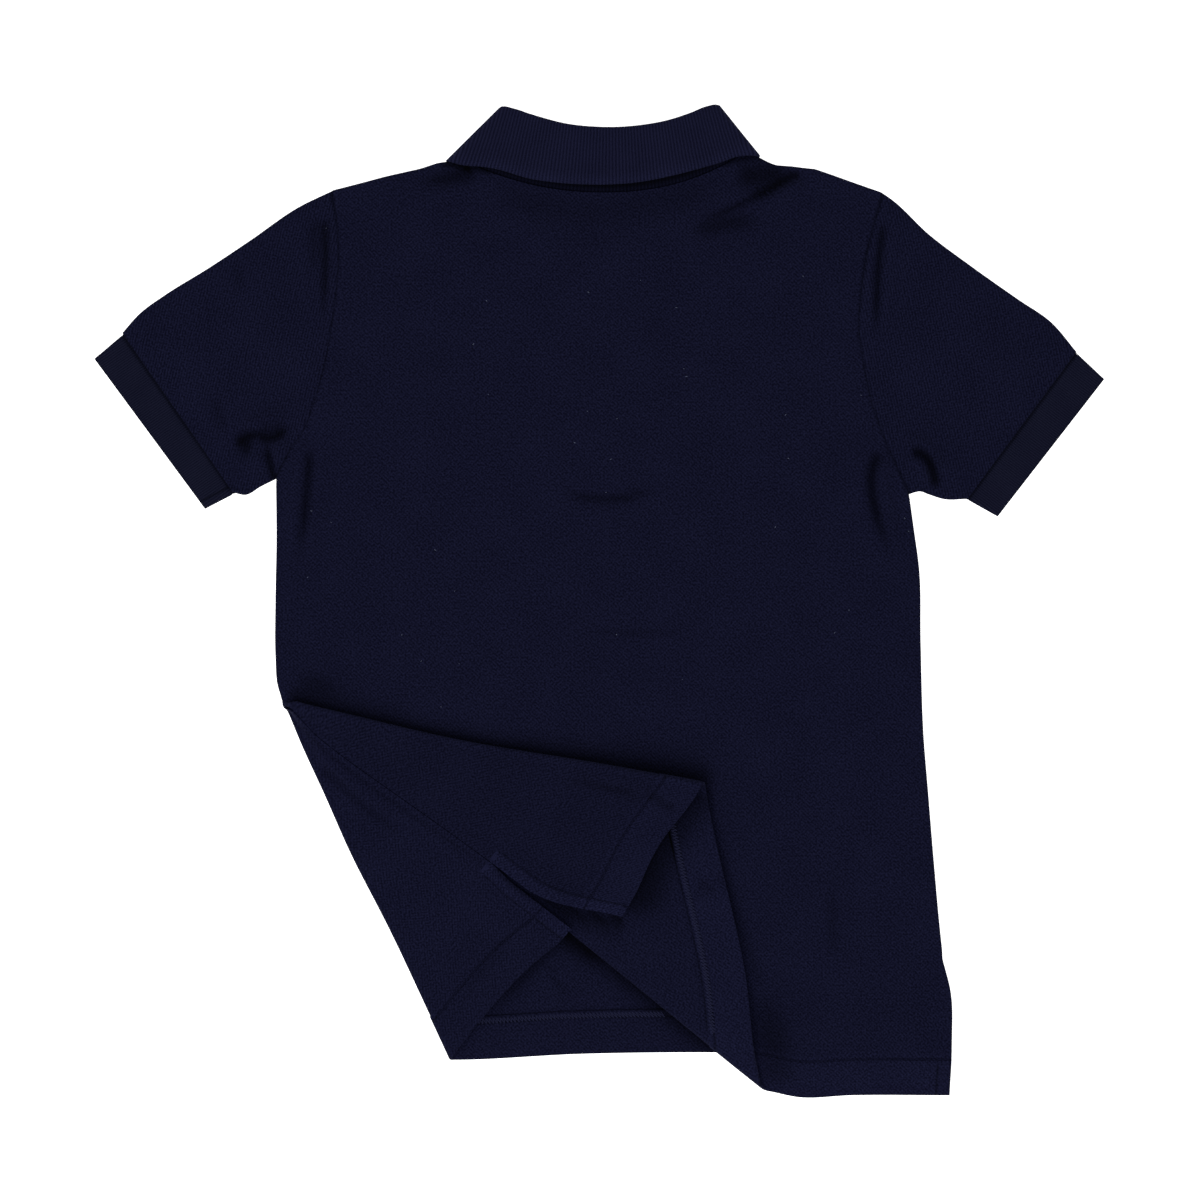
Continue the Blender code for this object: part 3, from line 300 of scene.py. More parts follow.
CREASES_FLAP_BACK = (
    (-24, -92, 4, -99, 30, -108, 3.5, 0.7, 0.3, 0.3),
    (-22, -97, 6, -104, 28, -112, 2.0, -0.6, 0.3, 0.3),
    (25, -105, 34, -111, 44, -117, 2.2, -0.9, 0.2, 0.2),
    (22, -101, 33, -107, 44, -112, 3.5, 0.8, 0.2, 0.2),
    (-120, -72, -80, -92, -40, -112, 14.0, 0.8, 0.4, 0.4),
    (-20, -118, -6, -140, -16, -166, 9.0, 0.6, 0.4, 0.4),
)
CREASES_LEG = (
    (50, -162, 62, -159, 74, -157, 2.2, -1.0, 0.2, 0.3),
    (53, -165, 63, -162, 74, -160, 3.0, 0.5, 0.3, 0.3),
    (22, -170, 34, -200, 44, -232, 10.0, 0.5, 0.4, 0.4),
)
CREASES_FLAP_FRONT = (
    (-164, -78, -132, -106, -100, -126, 3.6, 0.9, 0.2, 0.3),
    (-160, -88, -134, -112, -106, -134, 3.0, -0.4, 0.2, 0.3),
    (-150, -98, -120, -124, -96, -130, 4.0, 0.5, 0.3, 0.3),
    (-140, -130, -112, -160, -96, -214, 16.0, 0.9, 0.4, 0.4),
    (-84, -228, -60, -200, -48, -182, 2.4, -0.3, 0.3, 0.3),
    (-60, -160, -44, -170, -34, -186, 5.0, 0.6, 0.3, 0.3),
)
CREASES_FRONT_INSIDE = (
    (-33, -202, -28, -214, -20, -226, 2.2, 0.6, 0.2, 0.3),
    (-28, -202, -23, -214, -15, -225, 1.8, -0.4, 0.2, 0.3),
    (-23, -202, -17, -214, -10, -226, 2.4, 0.5, 0.2, 0.3),
)
CREASES_SLEEVE_LEFT = (
    (-201, 97, -188, 101, -174, 103, 4.5, 1.8, 0.25, 0.25),
    (-204, 87.0, -196, 93.0, -186.0, 91.4, 2.0, -1.9, 0.3, 0.15),
    (-190, 92.6, -182, 92.0, -174.0, 98.6, 2.3, -2.4, 0.2, 0.3),
    (-205, 89, -199, 91, -192, 93, 3.8, -0.7, 0.3, 0.3),
    (-192, 97, -184, 96.5, -176, 100.5, 3.8, -0.6, 0.3, 0.3),
    (-180, 92, -178, 85, -177, 78, 4.0, 1.6, 0.3, 0.3),
    (-198, 84, -191, 78, -188, 70, 4.5, 1.4, 0.3, 0.3),
    (-187.0, 90, -184.6, 79, -181.8, 68, 1.7, -1.9, 0.45, 0.03),
    (-201, 92, -198, 87, -194, 85, 4.0, -1.2, 0.3, 0.3),
    (-217, 119, -213.5, 106, -209, 93, 3.6, -0.4, 0.4, 0.4),
    (-157.5, 216, -157, 202, -155.5, 168, 6.0, -0.4, 0.25, 0.5),
    (-158.0, 212, -157.5, 196, -157.5, 172, 2.4, 0.35, 0.3, 0.4),
    (-153.8, 214, -153.4, 190, -155.0, 154, 1.9, -1.4, 0.12, 0.35),
    (-160.8, 214, -160.2, 198, -160.8, 178, 2.2, -0.35, 0.2, 0.4),
    (-204, 190, -202, 182, -201, 172, 3.2, -0.4, 0.3, 0.4),
    (-236, 160, -222, 128, -208, 96, 16.0, 0.8, 0.4, 0.4),
    (-200, 176, -186, 150, -182, 118, 14.0, 0.7, 0.4, 0.4),
)
CREASES_SLEEVE_RIGHT = (
    (170, 88, 182, 86, 192, 70, 4.6, 2.2, 0.25, 0.25),
    (174, 83, 184, 80, 189, 62, 2.4, -2.4, 0.2, 0.15),
    (170, 76, 178, 76, 184, 66, 4.0, 1.6, 0.3, 0.2),
    (160, 214, 156.5, 186, 155, 146, 2.0, -1.5, 0.2, 0.3),
    (165, 214, 162, 186, 160, 146, 4.0, 0.8, 0.25, 0.35),
    (154, 206, 151.5, 184, 150.5, 150, 3.0, 0.9, 0.2, 0.3),
    (186, 204, 190, 196, 190, 184, 4.0, 0.8, 0.2, 0.5),
    (214, 160, 212, 128, 204, 92, 16.0, 0.8, 0.4, 0.4),
    (236, 150, 230, 120, 222, 92, 12.0, 0.6, 0.4, 0.4),
)
# --- painted shade where hardly any light comes in: the same columns, and no height of their own
SHADES_BODY = (
    (99, -273, 98, -246, 90, -212, 9.0, -1.2, 0.2, 0.5),
    (92, -215, 82, -190, 66, -130, 2.6, -0.5, 0.2, 0.2),
    (-173, -49, -158, -46, -136, -56, 8.0, -0.32, 0.4, 0.5),
    (-88, 245.6, -75, 243.5, -58, 240.8, 1.7, -2.8, 0.03, 0.1),
    (92, 248.6, 82, 248.3, 67, 244.4, 1.6, -1.6, 0.05, 0.1),
    (-66, 234, 4, 219, 78, 240, 9.0, -0.5, 0.2, 0.2),
    (74, 238, 90, 238, 106, 241, 6.0, -0.5, 0.3, 0.3),
)
SHADES_LEG = (
    (60, -97, 35, -132, 17, -178, 12.0, -2.4, 0.05, 0.15),
    (-58, -145, -20, -170.5, 15, -177.5, 2.6, -2.8, 0.05, 0.05),
    (-40, -166, -12, -179, 15, -184, 5.0, -0.7, 0.2, 0.1),
    (-50, -152, -28, -168, -14, -184, 2.6, -1.2, 0.2, 0.2),
)
SHADES_FLAP = (
    (-58, -146, -47, -157.5, -30, -168, 2.2, -2.6, 0.15, 0.1),
    (-173, -62, -140, -94, -62, -148, 1.2, -0.5, 0.1, 0.05),
)
SHADES_INSIDE = (
    (-14, -181, -36, -204, -64, -234, 3.5, -0.8, 0.05, 0.3),
    (-22, -190, -10, -196, 4, -206, 6.0, -0.9, 0.2, 0.4),
)

# --- colours (linear)
NAVY = (0.0014, 0.0015, 0.0058, 1.0)
NAVY_PALE = (0.0059, 0.0065, 0.0200, 1.0)
RIB_NAVY = (0.0015, 0.0016, 0.0060, 1.0)
SHEEN = (0.35, 0.38, 0.80, 1.0)
RIB_PALE = (0.0080, 0.0087, 0.0252, 1.0)
CUFF_PALE = (0.0072, 0.0081, 0.0184, 1.0)
THREAD = (0.0036, 0.0040, 0.0150, 1.0)
BUTTON_NAVY = (0.0040, 0.0045, 0.0150, 1.0)
LOOPER = (0.0095, 0.0104, 0.0280, 1.0)
TACK = (0.0056, 0.0062, 0.0210, 1.0)
LINT = (0.07, 0.08, 0.12, 1.0)
FLOOR = (0.95, 0.95, 0.95, 1.0)


def smooth(low, high, value):
    """0 below low, 1 above high, and a smooth step between them."""
    f = np.clip((value - low) / (high - low), 0.0, 1.0)
    return f * f * (3.0 - 2.0 * f)


def bell(value, middle, width):
    """exp(-((value - middle) / width)^2)."""
    return np.exp(-((value - middle) / width) ** 2)


def lengths(path):
    """Distance along a path at each of its points."""
    return np.concatenate(([0.0], np.cumsum(np.linalg.norm(np.diff(path, axis=0), axis=1))))


def through(rows, at):
    """Points at fractions of the chord length of a smooth curve through the rows."""
    rows = np.asarray(rows, float)
    run = lengths(rows)
    slope = np.gradient(rows, run, axis=0)
    want = np.clip(np.asarray(at, float), 0.0, 1.0) * run[-1]
    k = np.clip(np.searchsorted(run, want, side="right") - 1, 0, len(run) - 2)
    span = (run[k + 1] - run[k])[..., None]
    f = (want - run[k])[..., None] / span
    return (
        (2 * f**3 - 3 * f**2 + 1) * rows[k]
        + (f**3 - 2 * f**2 + f) * span * slope[k]
        + (3 * f**2 - 2 * f**3) * rows[k + 1]
        + (f**3 - f**2) * span * slope[k + 1]
    )


def polar(x, y):
    """Distance from the apex, and the angle round it from straight down towards +X."""
    dx = x - APEX[0]
    dy = y - APEX[1]
    angle = np.arctan2(dx, -dy)
    angle = np.where(angle < -math.pi / 2.0, angle + 2.0 * math.pi, angle)
    return np.maximum(np.hypot(dx, dy), 1e-6), angle


def from_polar(distance, angle):
    """Plan point at a distance from the apex and an angle round it."""
    return APEX[0] + distance * np.sin(angle), APEX[1] - distance * np.cos(angle)


def hem_reach(hem, angle, above=0.0):
    """Distance from the apex, at an angle, to the line that runs a given height above a hem."""
    line = through(hem, np.linspace(0.0, 1.0, 400))
    reach, at = polar(line[:, 0], line[:, 1] + above)
    order = np.argsort(at)
    return np.interp(angle, at[order], reach[order])


def corner_angle(hem):
    """Angle round the apex of the corner where a hem meets its vent."""
    return float(polar(np.array(hem[0][0]), np.array(hem[0][1]))[1])


def hem_line(hem, x):
    """Height on the page of a hem at x."""
    line = through(hem, np.linspace(0.0, 1.0, 200))
    order = np.argsort(line[:, 0])
    return np.interp(x, line[order, 0], line[order, 1])


def above_hem(hem, x, y):
    """Height of a flat point above its hem line."""
    return y - hem_line(hem, x)


def hem_ply(hem, x, y):
    """1 where the hem is turned up, 0 above it; the step is crisp near the fold, soft elsewhere."""
    angle = np.degrees(polar(x, y)[1])
    before, after = HEM_CRISP
    soft = HEM_STEP + HEM_STEP_SOFT * (smooth(*after, angle) + 1.0 - smooth(*before, angle))
    return 1.0 - smooth(HEM_DEEP - soft, HEM_DEEP + soft, above_hem(hem, x, y))


# ---------------------------------------------------------------- creases


def creases(x, y, rows):
    """Sum of height x exp(-(distance / width)^2) over curved strokes, faded at both ends.

    Each stroke is a parabola through its start, middle and end. Troughs never go deeper than the
    gap under the cloth allows. The second result, 0 to 1, says how much of a trough a point is in.
    """
    total = np.zeros(np.shape(x))
    trough = np.zeros(np.shape(x))
    t = np.linspace(0.0, 1.0, CREASE_STEPS + 1)
    a, b, c = (1 - t) * (1 - 2 * t), 4 * t * (1 - t), t * (2 * t - 1)
    for x0, y0, x1, y1, x2, y2, width, height, fade_in, fade_out in rows:
        reach = CREASE_REACH * width
        near = (
            (x > min(x0, x1, x2) - reach) & (x < max(x0, x1, x2) + reach)
            & (y > min(y0, y1, y2) - reach) & (y < max(y0, y1, y2) + reach))
        if not near.any():
            continue
        px, py = x[near], y[near]
        lx = a * x0 + b * x1 + c * x2
        ly = a * y0 + b * y1 + c * y2
        best = np.full(px.shape, np.inf)
        along = np.zeros(px.shape)
        for k in range(CREASE_STEPS):
            ex, ey = lx[k + 1] - lx[k], ly[k + 1] - ly[k]
            f = np.clip(((px - lx[k]) * ex + (py - ly[k]) * ey) / (ex * ex + ey * ey), 0.0, 1.0)
            gap = (px - lx[k] - f * ex) ** 2 + (py - ly[k] - f * ey) ** 2
            closer = gap < best
            best = np.where(closer, gap, best)
            along = np.where(closer, t[k] + f * (t[k + 1] - t[k]), along)
        fade = smooth(0.0, fade_in, along) * (1.0 - smooth(1.0 - fade_out, 1.0, along))
        stroke = height * fade * np.exp(-best / width**2)
        total[near] += CREASE_SCALE * stroke
        trough[near] -= np.minimum(stroke, 0.0)
    held = np.where(total < 0.0, TROUGH_LIMIT * np.tanh(total / TROUGH_LIMIT), total)
    return held, np.tanh(trough / TROUGH_DARK)


def spots(place, rows):
    """Painted shade, 0 to 1, of some strokes at the places of points."""
    return creases(place[..., 0], place[..., 1], rows)[1]


def creased(place, layers):
    """Placed points with their creases, and the troughs' shade as a fourth value per point.

    layers lists (how much of it a point takes, the table of creases).
    """
    shade = np.zeros(place.shape[:-1])
    for weight, rows in layers:
        height, trough = creases(place[..., 0], place[..., 1], rows)
        place[..., 2] += weight * height
        shade += TROUGH_SHADE * weight * trough
    return np.concatenate((place, shade[..., None]), axis=-1)


# ---------------------------------------------------------------- heights of the flat layers


def near_collar(x, y):
    """1 where the collar's layers lie, 0 well away from them."""
    ring = np.hypot((x - CENTRE_X) / COLLAR_HALF[0], (y - COLLAR_MIDDLE_Y) / COLLAR_HALF[1])
    return 1.0 - smooth(*COLLAR_RING, ring)


def front_lift(x, y):
    """How far the buttons and the collar under the front lift it off the surface."""
    side = 1.0 - smooth(BUTTON_EDGE, BUTTON_EDGE + BUTTON_LIFT_RUN, np.abs(x - CENTRE_X))
    low, full, fade, top = BUTTON_LIFT_Y
    length = smooth(low, full, y) * (1.0 - smooth(fade, top, y))
    buttons = BUTTON_LIFT * side * length
    collar = COLLAR_LIFT * near_collar(x, y)
    return (buttons**4 + collar**4) ** 0.25


def front_level(x, y):
    """Height of the flat front's wall centre."""
    return front_lift(x, y) + (WALL + TURN_UP * hem_ply(HEM_FRONT, x, y)) / 2.0


def back_level(x, y):
    """Height of the flat back's wall centre: over the front, and down past the front's hem."""
    side = 1.0 - smooth(PLACKET_HALF, PLACKET_HALF + STRIP_RUN, np.abs(x - CENTRE_X))
    low, full, fade, top = STRIP_Y
    strip = PITCH * side * smooth(low, full, y) * (1.0 - smooth(fade, top, y))
    lifted = front_lift(x, y) + WALL + strip + COLLAR_SPREAD * near_collar(x, y)
    lifted = lifted + TURN_UP * (1.0 - smooth(*FRONT_HEM_Y, y))
    covered = smooth(*PAST_FRONT_Y, y)
    soft = 1.0 - smooth(HEM_DEEP - HEM_EASE, HEM_DEEP + HEM_EASE, above_hem(HEM_BACK, x, y))
    return covered * (lifted + LAYER_GAP) + (WALL + TURN_UP * soft) / 2.0


# ---------------------------------------------------------------- the fold


def roll(full, distance):
    """A roll's radius, which grows from nothing at the apex to its full size."""
    return full * np.tanh(distance / ROLL_GROWS)


def drawn_over(distance):
    """0 at the apex, where the cloth still lies flat, 1 where the corner is fully over."""
    return smooth(0.0, FOLD_COMPLETE, distance)


def bowed(angle, bows, distance):
    """An angle less its bows, each a bell: turn x exp(-((distance - at) / run)^2)."""
    return angle - sum(turn * bell(distance, at, run) for turn, at, run in bows)


def flap_edge(distance):
    """Angle of the flap's upper edge, which bows inwards."""
    return bowed(FLAP_EDGE, FLAP_EDGE_BOWS, distance)


def front_fold(distance):
    """Angle of the front's fold, which bows outwards."""
    return bowed(FRONT_FOLD, FRONT_FOLD_BOWS, distance)


def seam_lies(distance, parts):
    """Angle at which the side seam lies on the flap; below the vent the two edges part."""
    bow = SEAM_BOW * np.exp(-np.maximum(distance - SEAM_BOW_FROM, 0.0) / SEAM_BOW_RUN)
    turn, near, far = parts
    return SEAM_LIES - bow + turn * smooth(near, far, distance)


def seam_half_gap(distance):
    """Half the distance between the two panels' edges at the side seam."""
    over = drawn_over(distance)
    return SEAM_GAP / 2.0 + SEAM_SPREAD * 4.0 * over * (1.0 - over)


def seam_height(distance):
    """Height of the seam where it lies on the flap; higher over the turned-up hems."""
    hem = smooth(*HEMS_MEET, distance)
    return PITCH * 3.0 + WALL / 2.0 + SEAM_LIFT + HEM_LIFT * hem


def facing_arc(distance):
    """Arc, from the cut's side edge, at which the vent's facing is stitched."""
    return distance * SEAM_CUT + FACING * np.minimum(distance / VENT_TOP, 1.0)


def facing_puff(distance, arc):
    """How far the vent's facing stands up, between its edge and its stitching."""
    within = facing_arc(distance) - arc
    return VENT_PLY * smooth(*VENT_STEP, distance) * smooth(0.0, FACING_STEP, within)


def back_rolls(distance):
    """Radii of the back's two rolls, and where on the arc they begin and end."""
    far = distance / FLAP_REACH
    opened = (BACK_ROLL_HEM - BACK_ROLL) * smooth(*BACK_ROLL_OPENS, far)
    under = roll(BACK_ROLL + opened, distance)
    flap = roll(FLAP_ROLL + (FLAP_ROLL_HEM - FLAP_ROLL) * np.minimum(far, 1.0), distance)
    stops = {
        "corner": distance * corner_angle(HEM_BACK),
        "under_in": distance * BACK_FOLD + under,
        "under_out": distance * BACK_FOLD + under - math.pi * under,
        "flap_in": distance * FLAP_CUT + math.pi * flap / 2.0,
        "flap_out": distance * FLAP_CUT - math.pi * flap / 2.0,
        "facing": facing_arc(distance),
        "seam": distance * SEAM_CUT,
    }
    return under, flap, stops


def front_rolls(distance):
    """Radius of the front's roll, and where on the arc it begins and ends."""
    over = roll(FRONT_ROLL, distance * FRONT_ROLL_SLOW)
    start = distance * front_fold(distance) + over + roll(WALL / 2.0, distance)
    stops = {
        "corner": distance * corner_angle(HEM_FRONT),
        "over_in": start,
        "over_out": start - math.pi * over,
        "facing": facing_arc(distance),
        "seam": distance * SEAM_CUT,
    }
    return over, stops


def back_stops(distance):
    """Where on the arc the back's folds begin and end."""
    return back_rolls(distance)[-1]


def front_stops(distance):
    """Where on the arc the front's fold begins and ends."""
    return front_rolls(distance)[-1]


def fraction(start, stop, arc):
    """How far an arc has gone from one stop down to another, 0 to 1."""
    return np.clip((start - arc) / (start - stop), 0.0, 1.0)


def fold_back(x, y, distance, arc):
    """Where on its arc a point of the folded back comes to lie, and how high.

    From the back fold on it runs round a roll under itself, along a leg inside, up round the
    flap's roll, and down the flap to the side seam.
    """
    under, flap, stops = back_rolls(distance)
    edge = distance * flap_edge(distance) - flap
    seam = distance * seam_lies(distance, BACK_PARTS) + seam_half_gap(distance)
    foot = back_level(*from_polar(distance, np.full_like(distance, BACK_FOLD)))
    hem = np.clip(distance / FLAP_REACH, 0.0, 1.0)
    top = seam_height(distance) + FLAP_LIFT * hem**FLAP_LIFT_POWER + FLAP_EDGE_LIFT
    inside = np.maximum(top - 2.0 * flap, foot + 2.0 * under)
    lifted = CORNER_LIFT * smooth(*CORNER_LIFT_RUN, distance)
    top = top + lifted

    turn = np.clip((stops["under_in"] - arc) / under, 0.0, math.pi)
    along = np.where(arc > stops["under_in"], arc, stops["under_in"] - under * np.sin(turn))
    height = foot + under * (1.0 - np.cos(turn))

    leg = fraction(stops["under_out"], stops["flap_in"], arc)
    on_leg = (arc < stops["under_out"]) & (arc >= stops["flap_in"])
    along = np.where(on_leg, stops["under_in"] + leg * (edge - stops["under_in"]), along)
    beneath = back_level(*from_polar(distance, along / distance)) + 2.0 * under
    turned = TURNED_LIFT * (1.0 - smooth(*TURNED_HEM, above_hem(HEM_BACK, x, y)))
    turned = turned * smooth(*TURNED_RISE, leg) * (1.0 - smooth(*TURNED_FALL, leg))
    height = np.where(
        on_leg, beneath + (np.maximum(inside, beneath) - beneath) * leg + turned, height)

    turn = np.clip((stops["flap_in"] - arc) / flap, 0.0, math.pi)
    on_roll = (arc < stops["flap_in"]) & (arc >= stops["flap_out"])
    along = np.where(on_roll, edge + flap * np.sin(turn), along)
    height = np.where(on_roll, inside + (top - inside) * (1.0 - np.cos(turn)) / 2.0, height)

    over = fraction(stops["flap_out"], stops["seam"], arc)
    on_flap = arc < stops["flap_out"]
    along = np.where(on_flap, edge + over * (seam - edge), along)
    curl = smooth(STRIP_CURL_SHARE, 1.0, over) * smooth(*STRIP_CURL_RUN, distance)
    slope = (seam_height(distance) + lifted - top) * smooth(0.0, 1.0, over)
    height = np.where(
        on_flap, top + slope + STRIP_CURL * curl + facing_puff(distance, arc), height)
    return along, height


def flap_shadow(distance, angle):
    """Shade on the back beside the flap's upper edge: a bell whose width changes along the edge."""
    beyond = np.maximum(distance * (angle - flap_edge(distance)), 0.0)
    (near, *near_run), (far, *far_run) = SHADOW_NEAR, SHADOW_FAR
    wide = SHADOW_WIDE + near * (1.0 - smooth(*near_run, distance))
    wide = wide + far * smooth(*far_run, distance)
    beside = bell(beyond, 0.0, wide) * (1.0 - smooth(*SHADOW_ENDS, distance))
    return beside * smooth(0.0, SHADOW_STARTS, distance) * (angle < SHADOW_TURN)


def lay_back(x, y):
    """Place points of the flat back: left flat, rolled under at the back fold, or on the flap."""
    distance, angle = polar(x, y)
    arc = distance * angle
    stops = back_stops(distance)
    along, height = fold_back(x, y, distance, arc)
    share = fraction(stops["under_in"], stops["flap_in"], arc)
    folded = arc < stops["under_in"]
    place = mix_fold(x, y, back_level(x, y), distance, along, height, share, folded)

    opened = drawn_over(distance)
    body = np.where(y > APEX[1], 1.0, smooth(0.0, FADE_BODY, arc - stops["under_in"]))
    on_top = smooth(0.0, FADE_LEG, stops["under_out"] - arc)
    on_top = on_top * smooth(0.0, FADE_FLAP, arc - stops["flap_in"])
    flapped = smooth(0.0, FADE_FLAP, stops["flap_out"] - arc) * opened
    place = creased(place, (
        (body, CREASES_BODY), (on_top * opened, CREASES_LEG), (flapped, CREASES_FLAP_BACK)))
    raw = RAW_SHADE * bell(above_hem(HEM_BACK, x, y), *RAW_LINE)
    body_shade = FLAP_SHADE * flap_shadow(distance, angle) + spots(place, SHADES_BODY)
    leg_shade = raw + spots(place, SHADES_LEG)
    place[..., 3] += np.where(arc > stops["under_in"], body_shade, on_top * leg_shade)
    on_strip = facing_puff(distance, arc) > 0.0
    # painted shade on the flap, and a paler vent's facing
    place[..., 3] += flapped * np.where(on_strip, -STRIP_LIGHT, FLAP_SLOPE_SHADE)
    place[..., 3] -= PLY_LIGHT * hem_ply(HEM_BACK, x, y)
    return place


def fold_front(distance, arc):
    """Where on its arc a point of the folded front comes to lie, and how high."""
    over, stops = front_rolls(distance)
    seam = distance * seam_lies(distance, FRONT_PARTS) - seam_half_gap(distance)
    foot = front_level(*from_polar(distance, front_fold(distance)))
    turn = np.clip((stops["over_in"] - arc) / over, 0.0, math.pi)
    along = stops["over_in"] - over * np.sin(turn)
    height = foot + over * (1.0 - np.cos(turn))

    leg = fraction(stops["over_out"], stops["seam"], arc)
    on_flap = arc < stops["over_out"]
    along = np.where(on_flap, stops["over_in"] + leg * (seam - stops["over_in"]), along)
    lift = (seam_height(distance) - foot - 2.0 * over) * smooth(0.0, 1.0, leg)
    height = np.where(on_flap, foot + 2.0 * over + lift + facing_puff(distance, arc), height)
    return along, height


def lay_front(x, y):
    """Place points of the flat front: left flat, or rolled up and over at the front fold."""
    distance, angle = polar(x, y)
    arc = distance * angle
    stops = front_stops(distance)
    along, height = fold_front(distance, arc)
    share = fraction(stops["over_in"], stops["seam"], arc)
    folded = arc < stops["over_in"]
    place = mix_fold(x, y, front_level(x, y), distance, along, height, share, folded)

    flapped = smooth(0.0, FADE_FLAP, stops["over_out"] - arc) * drawn_over(distance)
    bare = np.where(y > APEX[1], 0.0, smooth(0.0, FADE_BODY, arc - stops["over_in"]))
    place = creased(place, ((flapped, CREASES_FLAP_FRONT), (bare, CREASES_FRONT_INSIDE)))
    place[..., 2] = np.maximum(place[..., 2], (WALL + TURN_UP * hem_ply(HEM_FRONT, x, y)) / 2.0)
    beside = bell(np.maximum(distance * (BACK_FOLD - angle), 0.0), 0.0, SHADOW_INSIDE)
    raw = RAW_SHADE * bell(above_hem(HEM_FRONT, x, y), *RAW_LINE) * (angle < BACK_FOLD)
    on_strip = facing_puff(distance, arc) > 0.0
    place[..., 3] += bare * (FLAP_SHADE * beside + spots(place, SHADES_INSIDE) + raw)
    place[..., 3] += flapped * spots(place, SHADES_FLAP)
    place[..., 3] -= STRIP_LIGHT * flapped * on_strip
    return place


def mix_fold(x, y, flat, distance, along, height, share, folded):
    """Blend the flat place into the folded one as the fold opens out from the apex.

    share says how far a point is from the first fold to the last one, 0 to 1. Near the apex the
    cloth stands up and out a little.
    """
    over = drawn_over(distance)
    fold_x, fold_y = from_polar(distance, along / distance)
    hump = FOLD_HUMP * 4.0 * over * (1.0 - over) * share
    near = distance / FOLD_OUT[1]
    out = FOLD_OUT[0] * near * np.exp(1.0 - near) * smooth(0.0, FOLD_OUT_SHARE, share)
    still = np.stack((x, y, flat), axis=-1)
    moved = np.stack((fold_x, fold_y, height), axis=-1)
    place = still + over[..., None] * (moved - still)
    place[..., 0] -= out
    place[..., 2] += hump
    return np.where(folded[..., None], place, still)


# ---------------------------------------------------------------- the body panels as grids

COLUMNS = 133                                        # between the edge columns
COLUMN_POWER = 1.15                                   # they stand closer together near the apex
CORNER_POWER = 1.1                                    # and rows closer together towards a fold
COLUMN_ROOM = 1.5                                     # and are pushed this far off the edge columns
COLUMN_PUSH = (0.88, 1.0)
COLUMN_PULL = (0.0, 0.06)
NECK_COLUMNS = (28, 105)
SLOT_COLUMNS = (63, 70)
SLOT_X = (CENTRE_X - PLACKET_HALF, CENTRE_X + PLACKET_HALF)
CHEST_TOP = (0.0, 0.0004, 0.0012, 0.0025, 0.0053, 0.012, 0.022)
CHEST = np.concatenate((CHEST_TOP, np.linspace(0.034, 1.0, 78)))
WAIST_ROWS = 34
WAIST_SHARE = 5.0 / 11.0                              # of the right side, level with the left one
SIDE_ROWS = 48
VENT_ROWS = 24
HEAD_SIDE = np.array((0.0, 0.04, 0.16, 0.36, 0.62, 0.9))
HEAD_OPEN = np.array((0.0, 0.2, 0.6, 1.2, 2.0, 3.0))
DROP = np.array((0.60, 0.42, 0.24, 0.10, 0.03, 0.0))
TAIL_SIDE = np.array((0.0, 0.04, 0.16, 0.36, 0.62, 0.9, 1.5, 2.4, 3.6, 5.0, 6.6, 8.4, 10.4, 12.6))
TAIL_OPEN = np.array((0.0, 0.2, 0.6, 1.2, 2.0, 3.0, 4.0, 5.2, 6.4, 7.8, 9.2, 10.8, 12.4, 14.2))
TAIL_VENT = np.array((0.0, 0.2, 0.6, 1.4, 3.0, 5.0, 6.4, 7.0, 7.5, 8.0, 8.6, 9.8, 11.4, 13.4))
TAIL_HEM = np.array(
    (0.0, 0.3, 0.9, 2.0, 4.5, 8.0, 12.5, 17.0, 20.6, 22.8, 23.55, 23.8, 24.05, 24.6))
ROUND = np.array((0.55, 0.85, 1.0))                   # a folded edge thins over its first columns
FACING_STEPS = (0.05, 0.1, 0.25, 0.45, 0.7, 0.9, 0.97, 1.0)
ROUNDS = 10                                           # to settle where a station meets a hem
LAST_COLUMN = 0.5                                     # before the hem's own columns
APEX_RUN = 6.0                                        # rows start from the outline's own point
APEX_SHARE = 0.9                                      # of the first step is for the edge columns


def neck_line(x, low, power):
    """Height on the page of a neck edge: low in the middle, rising to the shoulders by a power."""
    middle = (NECK_LEFT[0] + NECK_RIGHT[0]) / 2.0
    half = (NECK_RIGHT[0] - NECK_LEFT[0]) / 2.0
    across = np.abs((x - middle) / half)
    ends = np.interp(x, (NECK_LEFT[0], NECK_RIGHT[0]), (NECK_LEFT[1], NECK_RIGHT[1]))
    return low + (ends - low) * across**power


